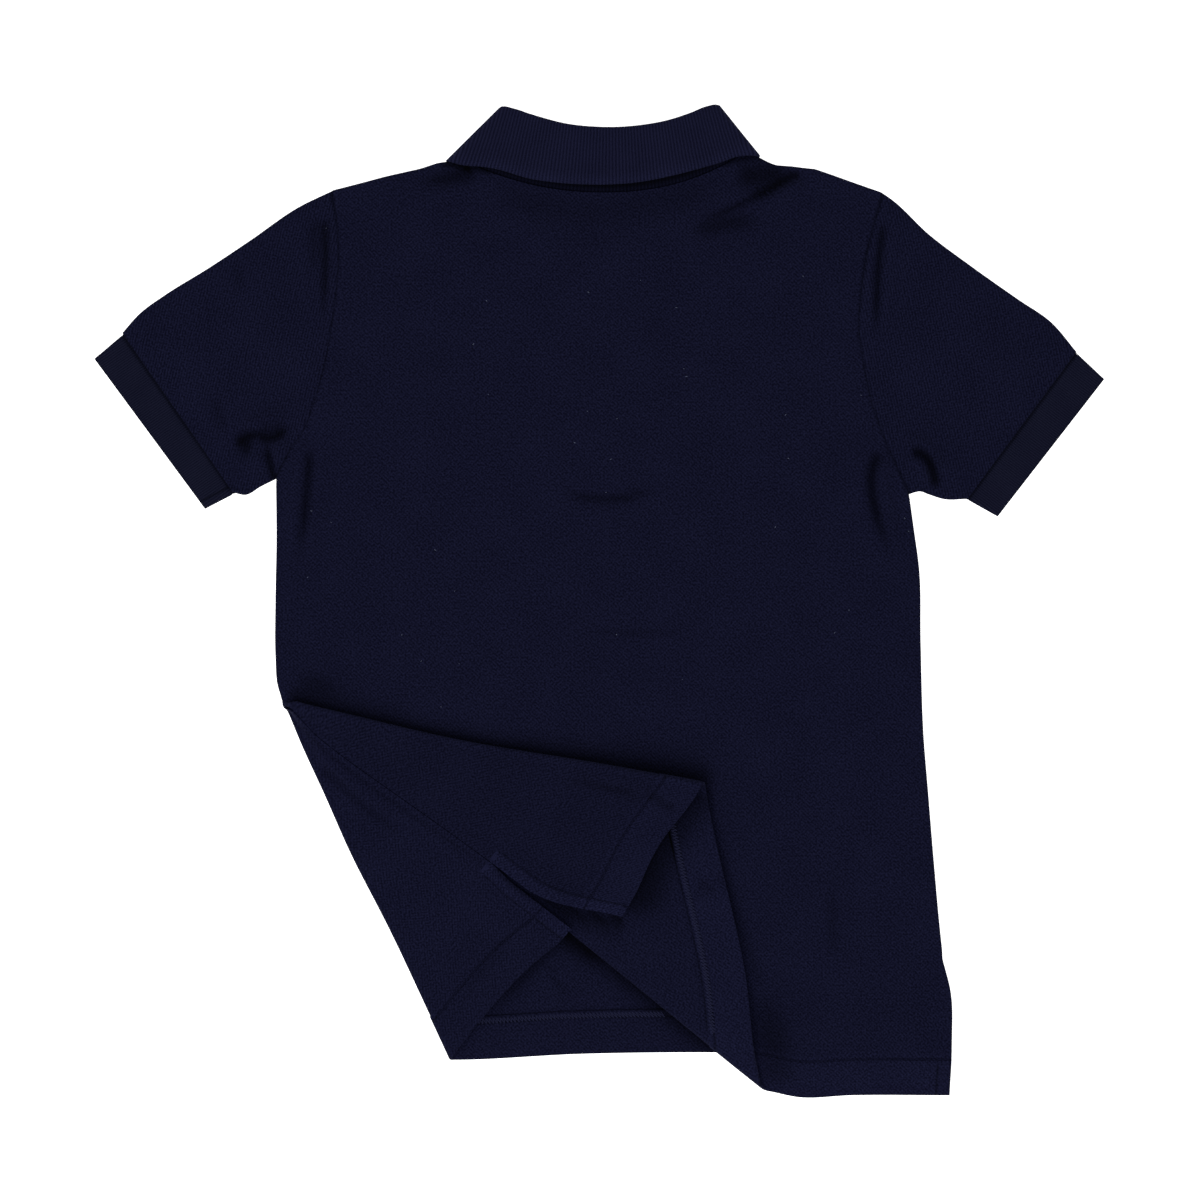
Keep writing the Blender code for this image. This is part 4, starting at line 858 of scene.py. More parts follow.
def chest_grid(neck_low, neck_power):
    """Plan points from the shoulders and neck down to the armpits, with even columns."""
    columns = np.arange(COLUMNS + 1)
    bottom_ends = np.array((ARMHOLE_LEFT[-1], ARMHOLE_RIGHT[-1]))
    width = bottom_ends[1, 0] - bottom_ends[0, 0]
    left, right = ((x - bottom_ends[0, 0]) / width for x in SLOT_X)
    across = np.interp(columns, (0, *SLOT_COLUMNS, COLUMNS), (0.0, left, right, 1.0))
    bottom = bottom_ends[0] + across[:, None] * (bottom_ends[1] - bottom_ends[0])
    top_x = np.interp(
        columns,
        (0, NECK_COLUMNS[0], *SLOT_COLUMNS, NECK_COLUMNS[1], COLUMNS),
        (ARMHOLE_LEFT[0][0], NECK_LEFT[0], *SLOT_X, NECK_RIGHT[0], ARMHOLE_RIGHT[0][0]),
    )
    shoulder = np.interp(top_x, *np.array(SHOULDER_LEFT + SHOULDER_RIGHT).T)
    inside = (top_x >= NECK_LEFT[0]) & (top_x <= NECK_RIGHT[0])
    top_y = np.where(inside, neck_line(top_x, neck_low, neck_power), shoulder)
    top = np.stack((top_x, top_y), axis=-1)

    left = through(ARMHOLE_LEFT, CHEST)
    right = through(ARMHOLE_RIGHT, CHEST)
    s = CHEST[:, None, None]
    t = across[None, :, None]
    ends_left = (1 - s[:, 0]) * top[0] + s[:, 0] * bottom[0]
    ends_right = (1 - s[:, 0]) * top[-1] + s[:, 0] * bottom[-1]
    grid = (1 - s) * top + s * bottom
    grid = grid + (1 - t) * (left - ends_left)[:, None] + t * (right - ends_right)[:, None]
    left, right = (x - grid[:, column, 0] for column, x in zip(SLOT_COLUMNS, SLOT_X))
    level = np.zeros_like(left)
    share = np.interp(columns, (0, SLOT_COLUMNS[0], SLOT_COLUMNS[1], COLUMNS), (0, 1, 2, 3))
    for low, (a, b) in enumerate(((level, left), (left, right), (right, level))):
        part = (share >= low) & ((share < low + 1) | (low == 2))
        f = (share[part] - low)[None]
        grid[:, part, 0] += a[:, None] * (1.0 - f) + b[:, None] * f
    return grid, across


def seam_groove(grid):
    """The dip beside an armhole seam and the rim next to it: bells about the outer columns."""
    left = np.linalg.norm(grid - grid[:, :1], axis=-1)
    right = np.linalg.norm(grid - grid[:, -1:], axis=-1)
    dip = bell(left, *SEAM_DIP) + bell(right, *SEAM_DIP)
    rim = bell(left, *SEAM_RIM) + bell(right, *SEAM_RIM)
    dip[len(CHEST):] = 0.0
    rim[len(CHEST):] = 0.0
    return dip, rim


def edged(row, head, tail):
    """Put the edge columns on a row: distances in from its two ends, the rest closed up evenly."""
    start = (row[1] - row[0]) / np.linalg.norm(row[1] - row[0])
    end = (row[-2] - row[-1]) / np.linalg.norm(row[-2] - row[-1])
    first = row[0] + head[:, None] * start
    last = row[-1] + tail[::-1, None] * end
    inner = row[1:-1].copy()
    span = np.linspace(0.0, 1.0, len(inner))[:, None]
    push = max(tail[-1] - np.linalg.norm(row[-1] - inner[-1]) + COLUMN_ROOM, 0.0)
    pull = max(head[-1] - np.linalg.norm(row[0] - inner[0]) + COLUMN_ROOM, 0.0)
    inner += (
        smooth(*COLUMN_PUSH, span) * push * end
        + (1.0 - smooth(*COLUMN_PULL, span)) * pull * start)
    return np.concatenate((first, inner, last))


def from_apex():
    """Fractions of the inner columns, closer together near the apex."""
    return (np.arange(1, COLUMNS) / COLUMNS) ** COLUMN_POWER


def fan_row(right, tail):
    """A ray from the apex; its first columns are the apex's own edge."""
    apex_in = np.array((APEX[0] + EDGE_ROLL, APEX[1]))
    end = (apex_in - right) / np.linalg.norm(apex_in - right)
    last = right + tail[::-1, None] * end
    inner = apex_in + from_apex()[:, None] * (last[0] - apex_in)
    first = np.array(APEX_OUT) + HEAD_SIDE[:, None] * np.array((1.0, 0.0))
    return np.concatenate((first, inner, last))


def station_row(hem, stops_of, start, stop, f):
    """A row that keeps to one station of the folded section all the way out to the hem."""
    def angle_at(distance):
        """Angle of the station at a distance from the apex."""
        stops = stops_of(distance)
        return ((1.0 - f) * stops[start] + f * stops[stop]) / distance

    outer = np.full(len(TAIL_HEM), FLAP_REACH)
    for _ in range(ROUNDS):
        angle = angle_at(outer)
        outer = np.array([hem_reach(hem, a, h) for a, h in zip(angle, TAIL_HEM)])
    outer = outer[::-1]
    keep = from_apex()
    keep[-1] = 1.0 - LAST_COLUMN / outer[0]
    distance = np.concatenate((keep * outer[0], outer))
    x, y = from_polar(distance, angle_at(distance))
    x = x + (1.0 - smooth(0.0, APEX_RUN, distance)) * (APEX_OUT[0] - APEX[0])
    step = np.array((x[0], y[0])) - APEX_OUT
    first = APEX_OUT + HEAD_SIDE[:, None] * APEX_SHARE * step
    return np.concatenate((first, np.stack((x, y), axis=-1)))


def body_panel(neck_low, neck_power, vent, hem, stops_of, order):
    """Flat plan, drop of the edges towards the other panel, and rounding of the folded edges.

    order lists the rows that follow the folded section: (from stop, to stop, fractions between).
    """
    chest, across = chest_grid(neck_low, neck_power)
    rows, drops, rounds = [], [], []
    wide = len(HEAD_SIDE) + COLUMNS - 1 + len(TAIL_SIDE)
    plain = np.ones(wide)

    def drop_row(right):
        """How far the two ends of a row drop, the right one by a share."""
        row = np.zeros(wide)
        row[:len(DROP)] = DROP
        row[-len(DROP):] = right * DROP[::-1]
        return row

    seam = np.ones(wide)
    seam[NECK_COLUMNS[0] + 2:NECK_COLUMNS[1] + 8] = 0.0
    for i, row in enumerate(chest):
        rows.append(edged(row, HEAD_OPEN, TAIL_OPEN))
        drops.append((DROP[i] if i < len(DROP) else 0.0) * seam)
        rounds.append(plain)
    closer = (np.arange(COLUMNS + 1) / COLUMNS) ** COLUMN_POWER
    for f in np.linspace(0.0, 1.0, WAIST_ROWS + 1)[1:-1]:
        left = through(SIDE_LEFT, f)
        right = through(SIDE_RIGHT, f * WAIST_SHARE)
        spread = across + f * (closer - across)
        rows.append(edged(left + spread[:, None] * (right - left), HEAD_SIDE, TAIL_SIDE))
        drops.append(drop_row(1.0))
        rounds.append(plain)
    for f in np.linspace(WAIST_SHARE, 1.0, SIDE_ROWS):
        rows.append(fan_row(through(SIDE_RIGHT, f), TAIL_SIDE))
        drops.append(drop_row(1.0 - smooth(0.96, 1.0, f)))
        rounds.append(plain)
    thin = plain.copy()
    thin[-len(ROUND):] = ROUND[::-1]
    corner = np.array(hem[0]) - APEX
    slant = TAIL_HEM * np.linalg.norm(corner) / abs(corner[1])
    for f in np.linspace(0.0, 1.0, VENT_ROWS + 1)[1:-1]:
        rows.append(fan_row(through(vent, f), TAIL_VENT + f * (slant - TAIL_VENT)))
        drops.append(drop_row(0.0))
        rounds.append(thin)
    for start, stop, fractions in order:
        for f in fractions:
            rows.append(station_row(hem, stops_of, start, stop, f))
            drops.append(drop_row(0.0))
            rounds.append(thin)
    return np.array(rows), np.array(drops), np.array(rounds)


def steps(count, power=1.0):
    """Fractions above 0 up to 1."""
    return (np.arange(1, count + 1) / count) ** power


def from_corner(count):
    """Fractions from 0 to 1, a little closer together towards 1."""
    return 1.0 - (1.0 - np.concatenate(((0.0,), steps(count)))) ** CORNER_POWER


def back_surface():
    """Flat plan and laid-out place of the back, with its hem's ply and its edges' rounding."""
    order = (
        ("corner", "under_in", from_corner(29)),
        ("under_in", "under_out", steps(8)),
        ("under_out", "flap_in", steps(20)),
        ("flap_in", "flap_out", steps(10)),
        ("flap_out", "facing", steps(22)),
        ("facing", "seam", np.array(FACING_STEPS)),
    )
    flat, drop, thin = body_panel(
        NECK_BACK_Y, NECK_BACK_POWER, VENT_BACK, HEM_BACK, back_stops, order)
    x, y = flat[..., 0], flat[..., 1]
    place = lay_back(x, y)
    place[..., 2] -= drop * (back_level(x, y) - front_level(x, y)) / PITCH
    dip, rim = seam_groove(flat)
    place[..., 2] += SEAM_RIM_HIGH * rim - SEAM_DIP_DEEP * dip
    place[..., 3] += SEAM_SHADE * dip
    return flat, place, hem_ply(HEM_BACK, x, y), thin


def front_surface():
    """Flat plan and laid-out place of the front, with its hem's ply and its edges' rounding."""
    order = (
        ("corner", "over_in", from_corner(44)),
        ("over_in", "over_out", steps(11)),
        ("over_out", "facing", steps(24)),
        ("facing", "seam", np.array(FACING_STEPS)),
    )
    flat, drop, thin = body_panel(
        NECK_FRONT_Y, NECK_FRONT_POWER, VENT_FRONT, HEM_FRONT, front_stops, order)
    x, y = flat[..., 0], flat[..., 1]
    place = lay_front(x, y)
    place[..., 2] += drop * (back_level(x, y) - front_level(x, y)) / PITCH
    return flat, place, hem_ply(HEM_FRONT, x, y), thin


# ---------------------------------------------------------------- flattened tubes and the collar

TUBE_EDGE = 0.12              # share of a tube's width over which its faces draw in to the edge
SHORT_FROM = 0.7              # and the share from which the upper layer stops short
TUCK_SHARE = 0.28             # the stand is tucked in over this much of it
FALL_FROM = 0.55              # the fall lifts off the back over the rest of it
ROLL_POINTS = 9               # round the collar's fold
STAND_SHADE = 0.5             # the foot of the stand is darker
STAND_SHADE_RUN = (0.3, 0.6)
EDGE_HIGHLIGHT = 0.25             # and a painted highlight makes the fall's edge paler
EDGE_HIGHLIGHT_RUN = (0.92, 0.97)


def tube_surface(top, under, start, end, along, wall, short, held_run):
    """A flattened tube between four outline curves, as a grid that is closed round the tube.

    Its two faces are Coons patches of the outline, EDGE_ROLL above and below the middle, joined
    by half circles at the top and under edges. The upper layer stops short of the under edge by a
    given length, which grows over held_run, a range of distances from the start.
    """
    middle = (PITCH + WALL) / 2.0
    turn = np.linspace(0.0, math.pi, TUBE_TURNS + 1)[1:-1]
    level = np.zeros(len(TUBE_FACE))
    edge = np.zeros(len(turn))
    across = np.concatenate((TUBE_FACE, edge + 1.0, TUBE_FACE[::-1], edge))
    outward = np.concatenate((level, np.sin(turn), level, np.sin(turn)))
    lift = np.concatenate((level + 1.0, np.cos(turn), level - 1.0, -np.cos(turn)))
    edge_top = through(top, along)
    edge_under = through(under, along)
    rim_start = through(start, across)
    rim_end = through(end, across)
    s = along[:, None, None]
    t = across[None, :, None]
    grid = (1 - t) * edge_top[:, None] + t * edge_under[:, None] + (1 - s) * rim_start + s * rim_end
    corner = (1 - s) * ((1 - t) * edge_top[0] + t * edge_under[0])
    corner = corner + s * ((1 - t) * edge_top[-1] + t * edge_under[-1])
    plan = grid - corner
    out = edge_top - edge_under
    width = np.linalg.norm(out, axis=-1, keepdims=True)
    out = out / width
    ends = 1.0 - smooth(0.0, TUBE_EDGE, t) - (1.0 - smooth(0.0, TUBE_EDGE, 1.0 - t))
    plan = plan - out[:, None] * (EDGE_ROLL + wall / 2.0) * ends
    sign = np.where(across < 0.5, 1.0, -1.0)[None, :, None]
    plan = plan + out[:, None] * sign * outward[None, :, None] * EDGE_ROLL
    held = np.linalg.norm(plan - plan[:1], axis=-1, keepdims=True)
    back = short * smooth(*held_run, held) * smooth(SHORT_FROM, 1.0, across)[None, :, None]
    plan = plan + out[:, None] * back * np.clip((lift[None, :, None] + 1.0) / 2.0, 0.0, 1.0)
    height = np.broadcast_to(middle + lift * EDGE_ROLL, plan.shape[:2])
    axis = (edge_top[-1] + edge_under[-1] - edge_top[0] - edge_under[0]) / 2.0
    axis = axis / np.linalg.norm(axis)
    cross = np.array((-axis[1], axis[0])) * np.sign(axis[0])
    uv = np.stack((plan @ cross, plan @ axis), axis=-1)
    return np.concatenate((plan, height[..., None]), axis=-1), uv, lift


def hairpin(length_in, length_out, radius, count):
    """Distances from the fold and heights, down one leg, round the fold and down the other."""
    turn = np.linspace(0.0, math.pi, ROLL_POINTS)
    back = radius - radius * np.sin(turn)
    rise = radius * (1.0 - np.cos(turn))
    leg = np.linspace(1.0, 0.0, count + 1)[:-1, None]
    stand = radius + leg * (length_in - radius)
    fall = radius + leg[::-1] * (length_out - radius)
    level = np.zeros((count, len(length_in)))
    turned = np.repeat(back[:, None], len(length_in), axis=1)
    risen = np.repeat(rise[:, None], len(length_in), axis=1)
    return (
        np.concatenate((stand, turned, fall)),
        np.concatenate((level, risen, level + 2 * radius)),
    )


def collar_surface(stations, legs):
    """The collar as a hairpin section, carried from one front end round the neck to the other."""
    rows = np.array(COLLAR_ROWS)
    at = np.linspace(0.0, 1.0, len(rows))
    seam_x, fold, edge, turn = rows[:, 0], rows[:, 1:3], rows[:, 3:5], np.radians(rows[:, 5])
    under = neck_line(seam_x, NECK_FRONT_Y, NECK_FRONT_POWER)
    over = neck_line(seam_x, NECK_BACK_Y, NECK_BACK_POWER)
    seam = np.stack((seam_x, np.where(turn < -1.0, under, over)), axis=-1)
    deep_in = np.linalg.norm(seam - fold, axis=1) - NECK_GAP - CREASE_GAP * np.cos(turn)
    deep_out = np.linalg.norm(edge - fold, axis=1)
    away, rise = hairpin(deep_in, deep_out, COLLAR_FOLD_ROLL, legs)
    stand_side = np.arange(len(away)) < legs + ROLL_POINTS // 2
    to_seam = (seam - fold) / np.linalg.norm(seam - fold, axis=1, keepdims=True)
    to_edge = (edge - fold) / np.linalg.norm(edge - fold, axis=1, keepdims=True)
    toward = np.where(stand_side[:, None, None], to_seam, to_edge)
    plan = fold + away[..., None] * toward
    radius = STAND_TURN + rise
    crease = np.stack((-to_edge[:, 1], to_edge[:, 0]), axis=-1)
    crease = crease * np.where(at < 0.5, -1.0, 1.0)[:, None] * np.sign(crease[:, :1])
    plan = plan + np.cos(turn)[None, :, None] * radius[..., None] * crease
    height = COLLAR_MIDDLE + radius * np.sin(turn)
    at_leg = np.arange(len(away)) / legs
    tuck = 1.0 - smooth(0.0, TUCK_SHARE, at_leg)
    height = height - np.where(turn < 0.0, *STAND_TUCK) * np.sin(turn) * tuck[:, None]
    fall = smooth(FALL_FROM, 1.0, at_leg - at_leg[-1] + 1.0)
    height = height + FALL_LIFT * np.maximum(np.sin(turn), 0.0) * fall[:, None]
    coarse = np.concatenate((plan, height[..., None]), axis=-1)
    across = coarse.transpose(1, 0, 2).reshape(len(rows), -1)
    fine = through(across, np.linspace(0.0, 1.0, stations))
    grid = fine.reshape(stations, len(away), 3)
    grid[..., 2] = np.maximum(grid[..., 2], RIB_WALL / 2.0)
    deep = np.cumsum(np.concatenate((
        np.zeros((stations, 1)), np.linalg.norm(np.diff(grid, axis=1), axis=2)), axis=1), axis=1)
    step = np.linalg.norm(np.diff(grid, axis=0), axis=-1)
    run = np.concatenate((np.zeros((1, len(away))), np.cumsum(step, axis=0)))
    fan = FAN_RADIUS * np.arctan2(grid[..., 0] - FAN_CENTRE[0], FAN_CENTRE[1] - grid[..., 1])
    turned = np.interp(np.linspace(0.0, 1.0, stations), at, rows[:, 5])
    back = np.flatnonzero(turned > 0.0)
    first, last = back[0], back[-1]
    before = fan[first] - (run[first] - run)
    after = fan[last] + (run - run[last])
    station = np.arange(stations)[:, None]
    across = np.where(station < first, before, np.where(station > last, after, fan))
    # painted shade at the foot of the stand, under the fall, and a painted highlight along the
    # fall's edge
    shade = STAND_SHADE * (1.0 - smooth(*STAND_SHADE_RUN, at_leg))
    shade = shade - EDGE_HIGHLIGHT * smooth(*EDGE_HIGHLIGHT_RUN, at_leg / at_leg[-1])
    shade = np.broadcast_to(shade, grid.shape[:2])
    return np.concatenate((grid, shade[..., None]), axis=-1), np.stack((across, deep), axis=-1)


# ---------------------------------------------------------------- meshes


def grid_mesh(name, points, layers, closed=False, skip=None):
    """A mesh of quads on a grid of points, with UV layers given per point in millimetres.

    A fourth value per point becomes the layer "shade".
    """
    rows, columns = points.shape[:2]
    index = np.arange(rows * columns).reshape(rows, columns)
    if closed:
        index = np.concatenate((index, index[:, :1]), axis=1)
    quads = np.stack((index[:-1, :-1], index[:-1, 1:], index[1:, 1:], index[1:, :-1]), axis=-1)
    if skip is not None:
        quads = quads[~skip]
    quads = quads.reshape(-1, 4)
    if points.shape[-1] == 4:
        layers = dict(layers, shade=np.stack((points[..., 3], points[..., 3]), axis=-1))
    mesh = bpy.data.meshes.new(name)
    mesh.vertices.add(rows * columns)
    mesh.vertices.foreach_set("co", (points[..., :3] * MM).astype(np.float32).ravel())
    mesh.loops.add(quads.size)
    mesh.loops.foreach_set("vertex_index", quads.astype(np.int32).ravel())
    mesh.polygons.add(len(quads))
    mesh.polygons.foreach_set("loop_start", np.arange(0, quads.size, 4, dtype=np.int32))
    for label, values in layers.items():
        layer = mesh.uv_layers.new(name=label)
        at = values.reshape(-1, 2)[quads.ravel()] * MM
        layer.data.foreach_set("uv", at.astype(np.float32).ravel())
    mesh.update(calc_edges=True)
    return mesh


def weld(mesh):
    """Join the points that coincide and drop the loose ones and the faces with no area."""
    work = bmesh.new()
    work.from_mesh(mesh)
    bmesh.ops.remove_doubles(work, verts=work.verts, dist=1e-6)
    loose = [v for v in work.verts if not v.link_faces]
    bmesh.ops.delete(work, geom=loose, context="VERTS")
    work.to_mesh(mesh)
    work.free()


def cloth_piece(name, mesh, wall, material, node, weights=None):
    """A piece with a Solidify wall about its grid, thicker or thinner by the weights."""
    piece = bpy.data.objects.new(name, mesh)
    bpy.context.scene.collection.objects.link(piece)
    mesh.materials.append(material)
    mesh.shade_smooth()
    solid = piece.modifiers.new("wall", "SOLIDIFY")
    solid.offset = 0.0
    solid.thickness = wall * MM
    if weights is not None:
        group = piece.vertex_groups.new(name="ply")
        levels = np.round(weights, 2)
        for level in np.unique(levels):
            group.add(np.flatnonzero(levels == level).tolist(), float(level), "REPLACE")
        solid.vertex_group = group.name
    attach(piece, "root")
    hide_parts(node)
    return piece


# ---------------------------------------------------------------- materials

PIQUE_PITCH = 2.2             # between the cells of the pique
CUFF_PITCH = 1.3              # between the ribs of a cuff
COLLAR_PITCH = 1.8            # and of the collar
RIB_STRENGTH = 0.75
RIB_ROWS = 0.9                # between the rows of stitches across the ribs
KNIT_TONE = 0.17              # how much the knit changes the colour
RIB_TONE = 0.34
FUZZ_TONE = (2.6, -0.9)       # and the fuzz: a factor, and what is added to it
RIB_FUZZ_TONE = (1.7, -0.45)
MOTTLE_TONE = (0.3, -0.15)
SHADE_DARKENS = 0.7           # how much the painted shade takes off the colour
LINE_SHADE_DARKENS = 0.45         # and a line: painted shade in a stitched groove, and on a collar its seam line and painted shadow
HEM_GROOVE = 0.7              # widths of the stitched grooves
VENT_GROOVE = 0.6
COLLAR_SEAM_AND_SHADOW = ((1.7, 0.5), (6.2, 3.0))     # the collar's seam line, and the painted shadow under the fall: in from the collar's seam, and how wide
COLLAR_SEAM_AND_SHADOW_DARK = 1.7


class Nodes:
    """A short hand for a material's node tree."""

    def __init__(self, name):
        """A new material with its shader."""
        self.material = bpy.data.materials.new(name)
        self.material.use_nodes = True
        self.tree = self.material.node_tree
        self.shader = self.tree.nodes["Principled BSDF"]

    def new(self, kind, **settings):
        """A new node with its settings."""
        node = self.tree.nodes.new(kind)
        for key, value in settings.items():
            setattr(node, key, value)
        return node

    def link(self, source, target):
        """Join an output to an input."""
        self.tree.links.new(source, target)

    def math(self, operation, first, second=None, third=None):
        """Output of a maths node, from numbers or other outputs."""
        node = self.new("ShaderNodeMath", operation=operation)
        for socket, value in zip(node.inputs, (first, second, third)):
            if value is None:
                continue
            if isinstance(value, (int, float)):
                socket.default_value = value
            else:
                self.link(value, socket)
        return node.outputs[0]

    def uv(self, layer):
        """A UV layer as a vector, and its two values."""
        node = self.new("ShaderNodeUVMap", uv_map=layer)
        split = self.new("ShaderNodeSeparateXYZ")
        self.link(node.outputs[0], split.inputs[0])
        return node.outputs[0], split.outputs[0], split.outputs[1]

    def wave(self, value, pitch):
        """cos(2 pi value / pitch), with the pitch in millimetres."""
        turned = self.math("MULTIPLY", value, 2.0 * math.pi / (pitch * MM))
        return self.math("COSINE", turned)

    def noise(self, vector, size, detail=2.0):
        """Noise whose blots are about so many millimetres in size."""
        node = self.new("ShaderNodeTexNoise")
        node.inputs["Scale"].default_value = 1.0 / (size * MM)
        node.inputs["Detail"].default_value = detail
        self.link(vector, node.inputs["Vector"])
        return node.outputs["Fac"]

    def mix(self, factor, low, high):
        """A colour between two others."""
        node = self.new("ShaderNodeMix", data_type="RGBA")
        self.link(factor, node.inputs[0])
        node.inputs[6].default_value = low
        node.inputs[7].default_value = high
        return node.outputs[2]

    def bump(self, height, distance, strength=1.0, normal=None):
        """A normal bent by a relief that is so many millimetres high."""
        node = self.new("ShaderNodeBump")
        node.inputs["Distance"].default_value = distance * MM
        node.inputs["Strength"].default_value = strength
        self.link(height, node.inputs["Height"])
        if normal is not None:
            self.link(normal, node.inputs["Normal"])
        return node.outputs[0]


def groove(n, value, at, width):
    """exp(-((value - at) / width)^2), with lengths in millimetres."""
    off = n.math("DIVIDE", n.math("SUBTRACT", value, at * MM), width * MM)
    return n.math("EXPONENT", n.math("MULTIPLY", n.math("MULTIPLY", off, off), -1.0))


def pique_material(name, edged_panel):
    """Pique: cells staggered like bricks, 2.2 mm apart, crossed by one set of diagonals.

    Where the panel has hem and vent distances as a second UV map, a stitched groove runs along
    each of them, with painted shade in it.
    """
    n = Nodes(name)
    vector, u, v = n.uv("cloth")
    bend = n.noise(vector, 4.0, 2.0)
    bent_u = n.math("MULTIPLY_ADD", bend, 1.6 * MM, u)
    cells = n.math("MULTIPLY", n.wave(bent_u, PIQUE_PITCH), n.wave(v, PIQUE_PITCH))
    lines = n.wave(n.math("ADD", bent_u, v), PIQUE_PITCH)
    fuzz = n.noise(vector, 1.1, 3.0)
    mottle = n.noise(vector, 24.0, 3.0)
    knit = n.math("MULTIPLY_ADD", lines, 0.35 if edged_panel else 0.9, cells)
    tone = n.math("MULTIPLY_ADD", knit, KNIT_TONE, n.math("MULTIPLY_ADD", fuzz, *FUZZ_TONE))
    tone = n.math("ADD", tone, n.math("MULTIPLY_ADD", mottle, *MOTTLE_TONE))
    relief = n.math("MULTIPLY_ADD", fuzz, 1.6, n.math("MULTIPLY", knit, 0.4))
    normal = n.bump(relief, 0.2, 0.9)
    line = None
    if edged_panel:
        _, hem, vent = n.uv("edges")
        line = n.math(
            "MAXIMUM", groove(n, hem, STITCHED, HEM_GROOVE), groove(n, vent, FACING, VENT_GROOVE))
        normal = n.bump(n.math("MULTIPLY", line, -1.0), 0.45, 1.0, normal)
    n.link(shaded(n, n.mix(tone, NAVY, NAVY_PALE), line), n.shader.inputs["Base Color"])
    n.link(normal, n.shader.inputs["Normal"])
    cotton(n)
    return n.material


def shaded(n, colour, line=None):
    """Darken a colour by painted shade: in the troughs, where the light hardly reaches, and along a
    line.
    """
    _, shade, _ = n.uv("shade")
    left = n.math("MULTIPLY_ADD", shade, -SHADE_DARKENS / MM, 1.0)
    if line is not None:
        left = n.math("MULTIPLY", left, n.math("MULTIPLY_ADD", line, -LINE_SHADE_DARKENS, 1.0))
    grey = n.new("ShaderNodeCombineXYZ")
    for socket in grey.inputs:
        n.link(left, socket)
    product = n.new("ShaderNodeMix", data_type="RGBA", blend_type="MULTIPLY")
    product.inputs[0].default_value = 1.0
    n.link(colour, product.inputs[6])
    n.link(grey.outputs[0], product.inputs[7])
    return product.outputs[2]


def cotton(n):
    """Matt cotton: rough, with a little sheen."""
    n.shader.inputs["Roughness"].default_value = 0.95
    n.shader.inputs["Specular IOR Level"].default_value = 0.02
    n.shader.inputs["Sheen Weight"].default_value = 0.02
    n.shader.inputs["Sheen Roughness"].default_value = 0.5
    n.shader.inputs["Sheen Tint"].default_value = SHEEN


def rib_material(name, pitch, pale, seam_and_shadow=False):
    """Knitted rib: rounded ribs along V with rows of stitches across them.

    On a collar it is dark in the seam, and has a painted shadow from a few millimetres in, under
    the fall.
    """
    n = Nodes(name)
    vector, u, v = n.uv("cloth")
    bend = n.noise(vector, 6.0, 2.0)
    ribs = n.wave(n.math("MULTIPLY_ADD", bend, 0.6 * MM, u), pitch)
    stitches = n.wave(v, RIB_ROWS)
    fuzz = n.noise(vector, 0.6, 3.0)
    mottle = n.noise(vector, 20.0, 2.0)
    tone = n.math("MULTIPLY_ADD", fuzz, *RIB_FUZZ_TONE)
    tone = n.math("MULTIPLY_ADD", ribs, RIB_TONE * RIB_STRENGTH, tone)
    tone = n.math("ADD", tone, n.math("MULTIPLY_ADD", mottle, *MOTTLE_TONE))
    line = None
    if seam_and_shadow:
        # the seam's dark line and the painted shadow under the fall
        line = n.math("MAXIMUM", *(groove(n, v, at, wide) for at, wide in COLLAR_SEAM_AND_SHADOW))
        line = n.math("MULTIPLY", line, COLLAR_SEAM_AND_SHADOW_DARK)
    n.link(shaded(n, n.mix(tone, RIB_NAVY, pale), line), n.shader.inputs["Base Color"])
    relief = n.math("MULTIPLY_ADD", fuzz, 0.8, n.math("MULTIPLY", ribs, 0.6 * RIB_STRENGTH))
    relief = n.math("MULTIPLY_ADD", stitches, 0.08, relief)
    n.link(n.bump(relief, 0.28, 0.9), n.shader.inputs["Normal"])
    cotton(n)
    return n.material


def thread_material(name, colour):
    """Sewing thread: fine twist across each stitch."""
    n = Nodes(name)
    where = n.new("ShaderNodeTexCoord")
    fuzz = n.noise(where.outputs["Object"], 0.3, 2.0)
    n.link(n.bump(fuzz, 0.05, 0.6), n.shader.inputs["Normal"])
    n.shader.inputs["Base Color"].default_value = colour
    n.shader.inputs["Roughness"].default_value = 0.8
    n.shader.inputs["Specular IOR Level"].default_value = 0.03
    return n.material


def button_material():
    """Dyed resin with faint clouding."""
    n = Nodes("button resin")
    where = n.new("ShaderNodeTexCoord")
    cloud = n.noise(where.outputs["Object"], 2.5, 3.0)
    n.link(n.mix(cloud, BUTTON_NAVY, THREAD), n.shader.inputs["Base Color"])
    n.shader.inputs["Roughness"].default_value = 0.28
    n.link(n.bump(cloud, 0.05, 0.4), n.shader.inputs["Normal"])
    return n.material


# ---------------------------------------------------------------- sewing

STITCH = 2.5                  # one stitch of a running seam, and the gap to the next
STITCH_GAP = 0.7
STITCH_RADIUS = 0.2
STITCH_RISE = 0.1
LOOP_PITCH = 2.0              # a looper's thread crosses over in this share of its pitch
LOOP_LEAN = 0.75
LOOP_RADIUS = 0.24
LOOP_ROWS = (HEM_DEEP - 0.5, HEM_DEEP - 4.1)
TACK_HALF = 1.2               # half the height of a bar tack
TACK_THREADS = 9
EDGE_IN = 0.6                 # tacks and the hem's first stitch start this far in
TACK_RADIUS = 0.22
KNOT_RISE = 0.15              # of looper and tack threads
ON_CLOTH = 0.02               # a thread's ends are this far off the cloth
PATH_POINTS = 200
VENT_POINTS = 60
HEM_SHOWS_TO = 76.0           # the back's outer hem goes under the fold here
FACING_ENDS = (SEAM_CUT + 0.035, 0.8)         # angle, and height above the hem
FIBRES = 34
FIBRE_SEED = 7
FIBRES_X = (-165.0, 175.0)
FIBRES_Y = (-60.0, 215.0)
FIBRE_HALF = (0.18, 0.75)     # half its length
FIBRE_RADIUS = 0.14
FIBRE_LIFT = 0.12


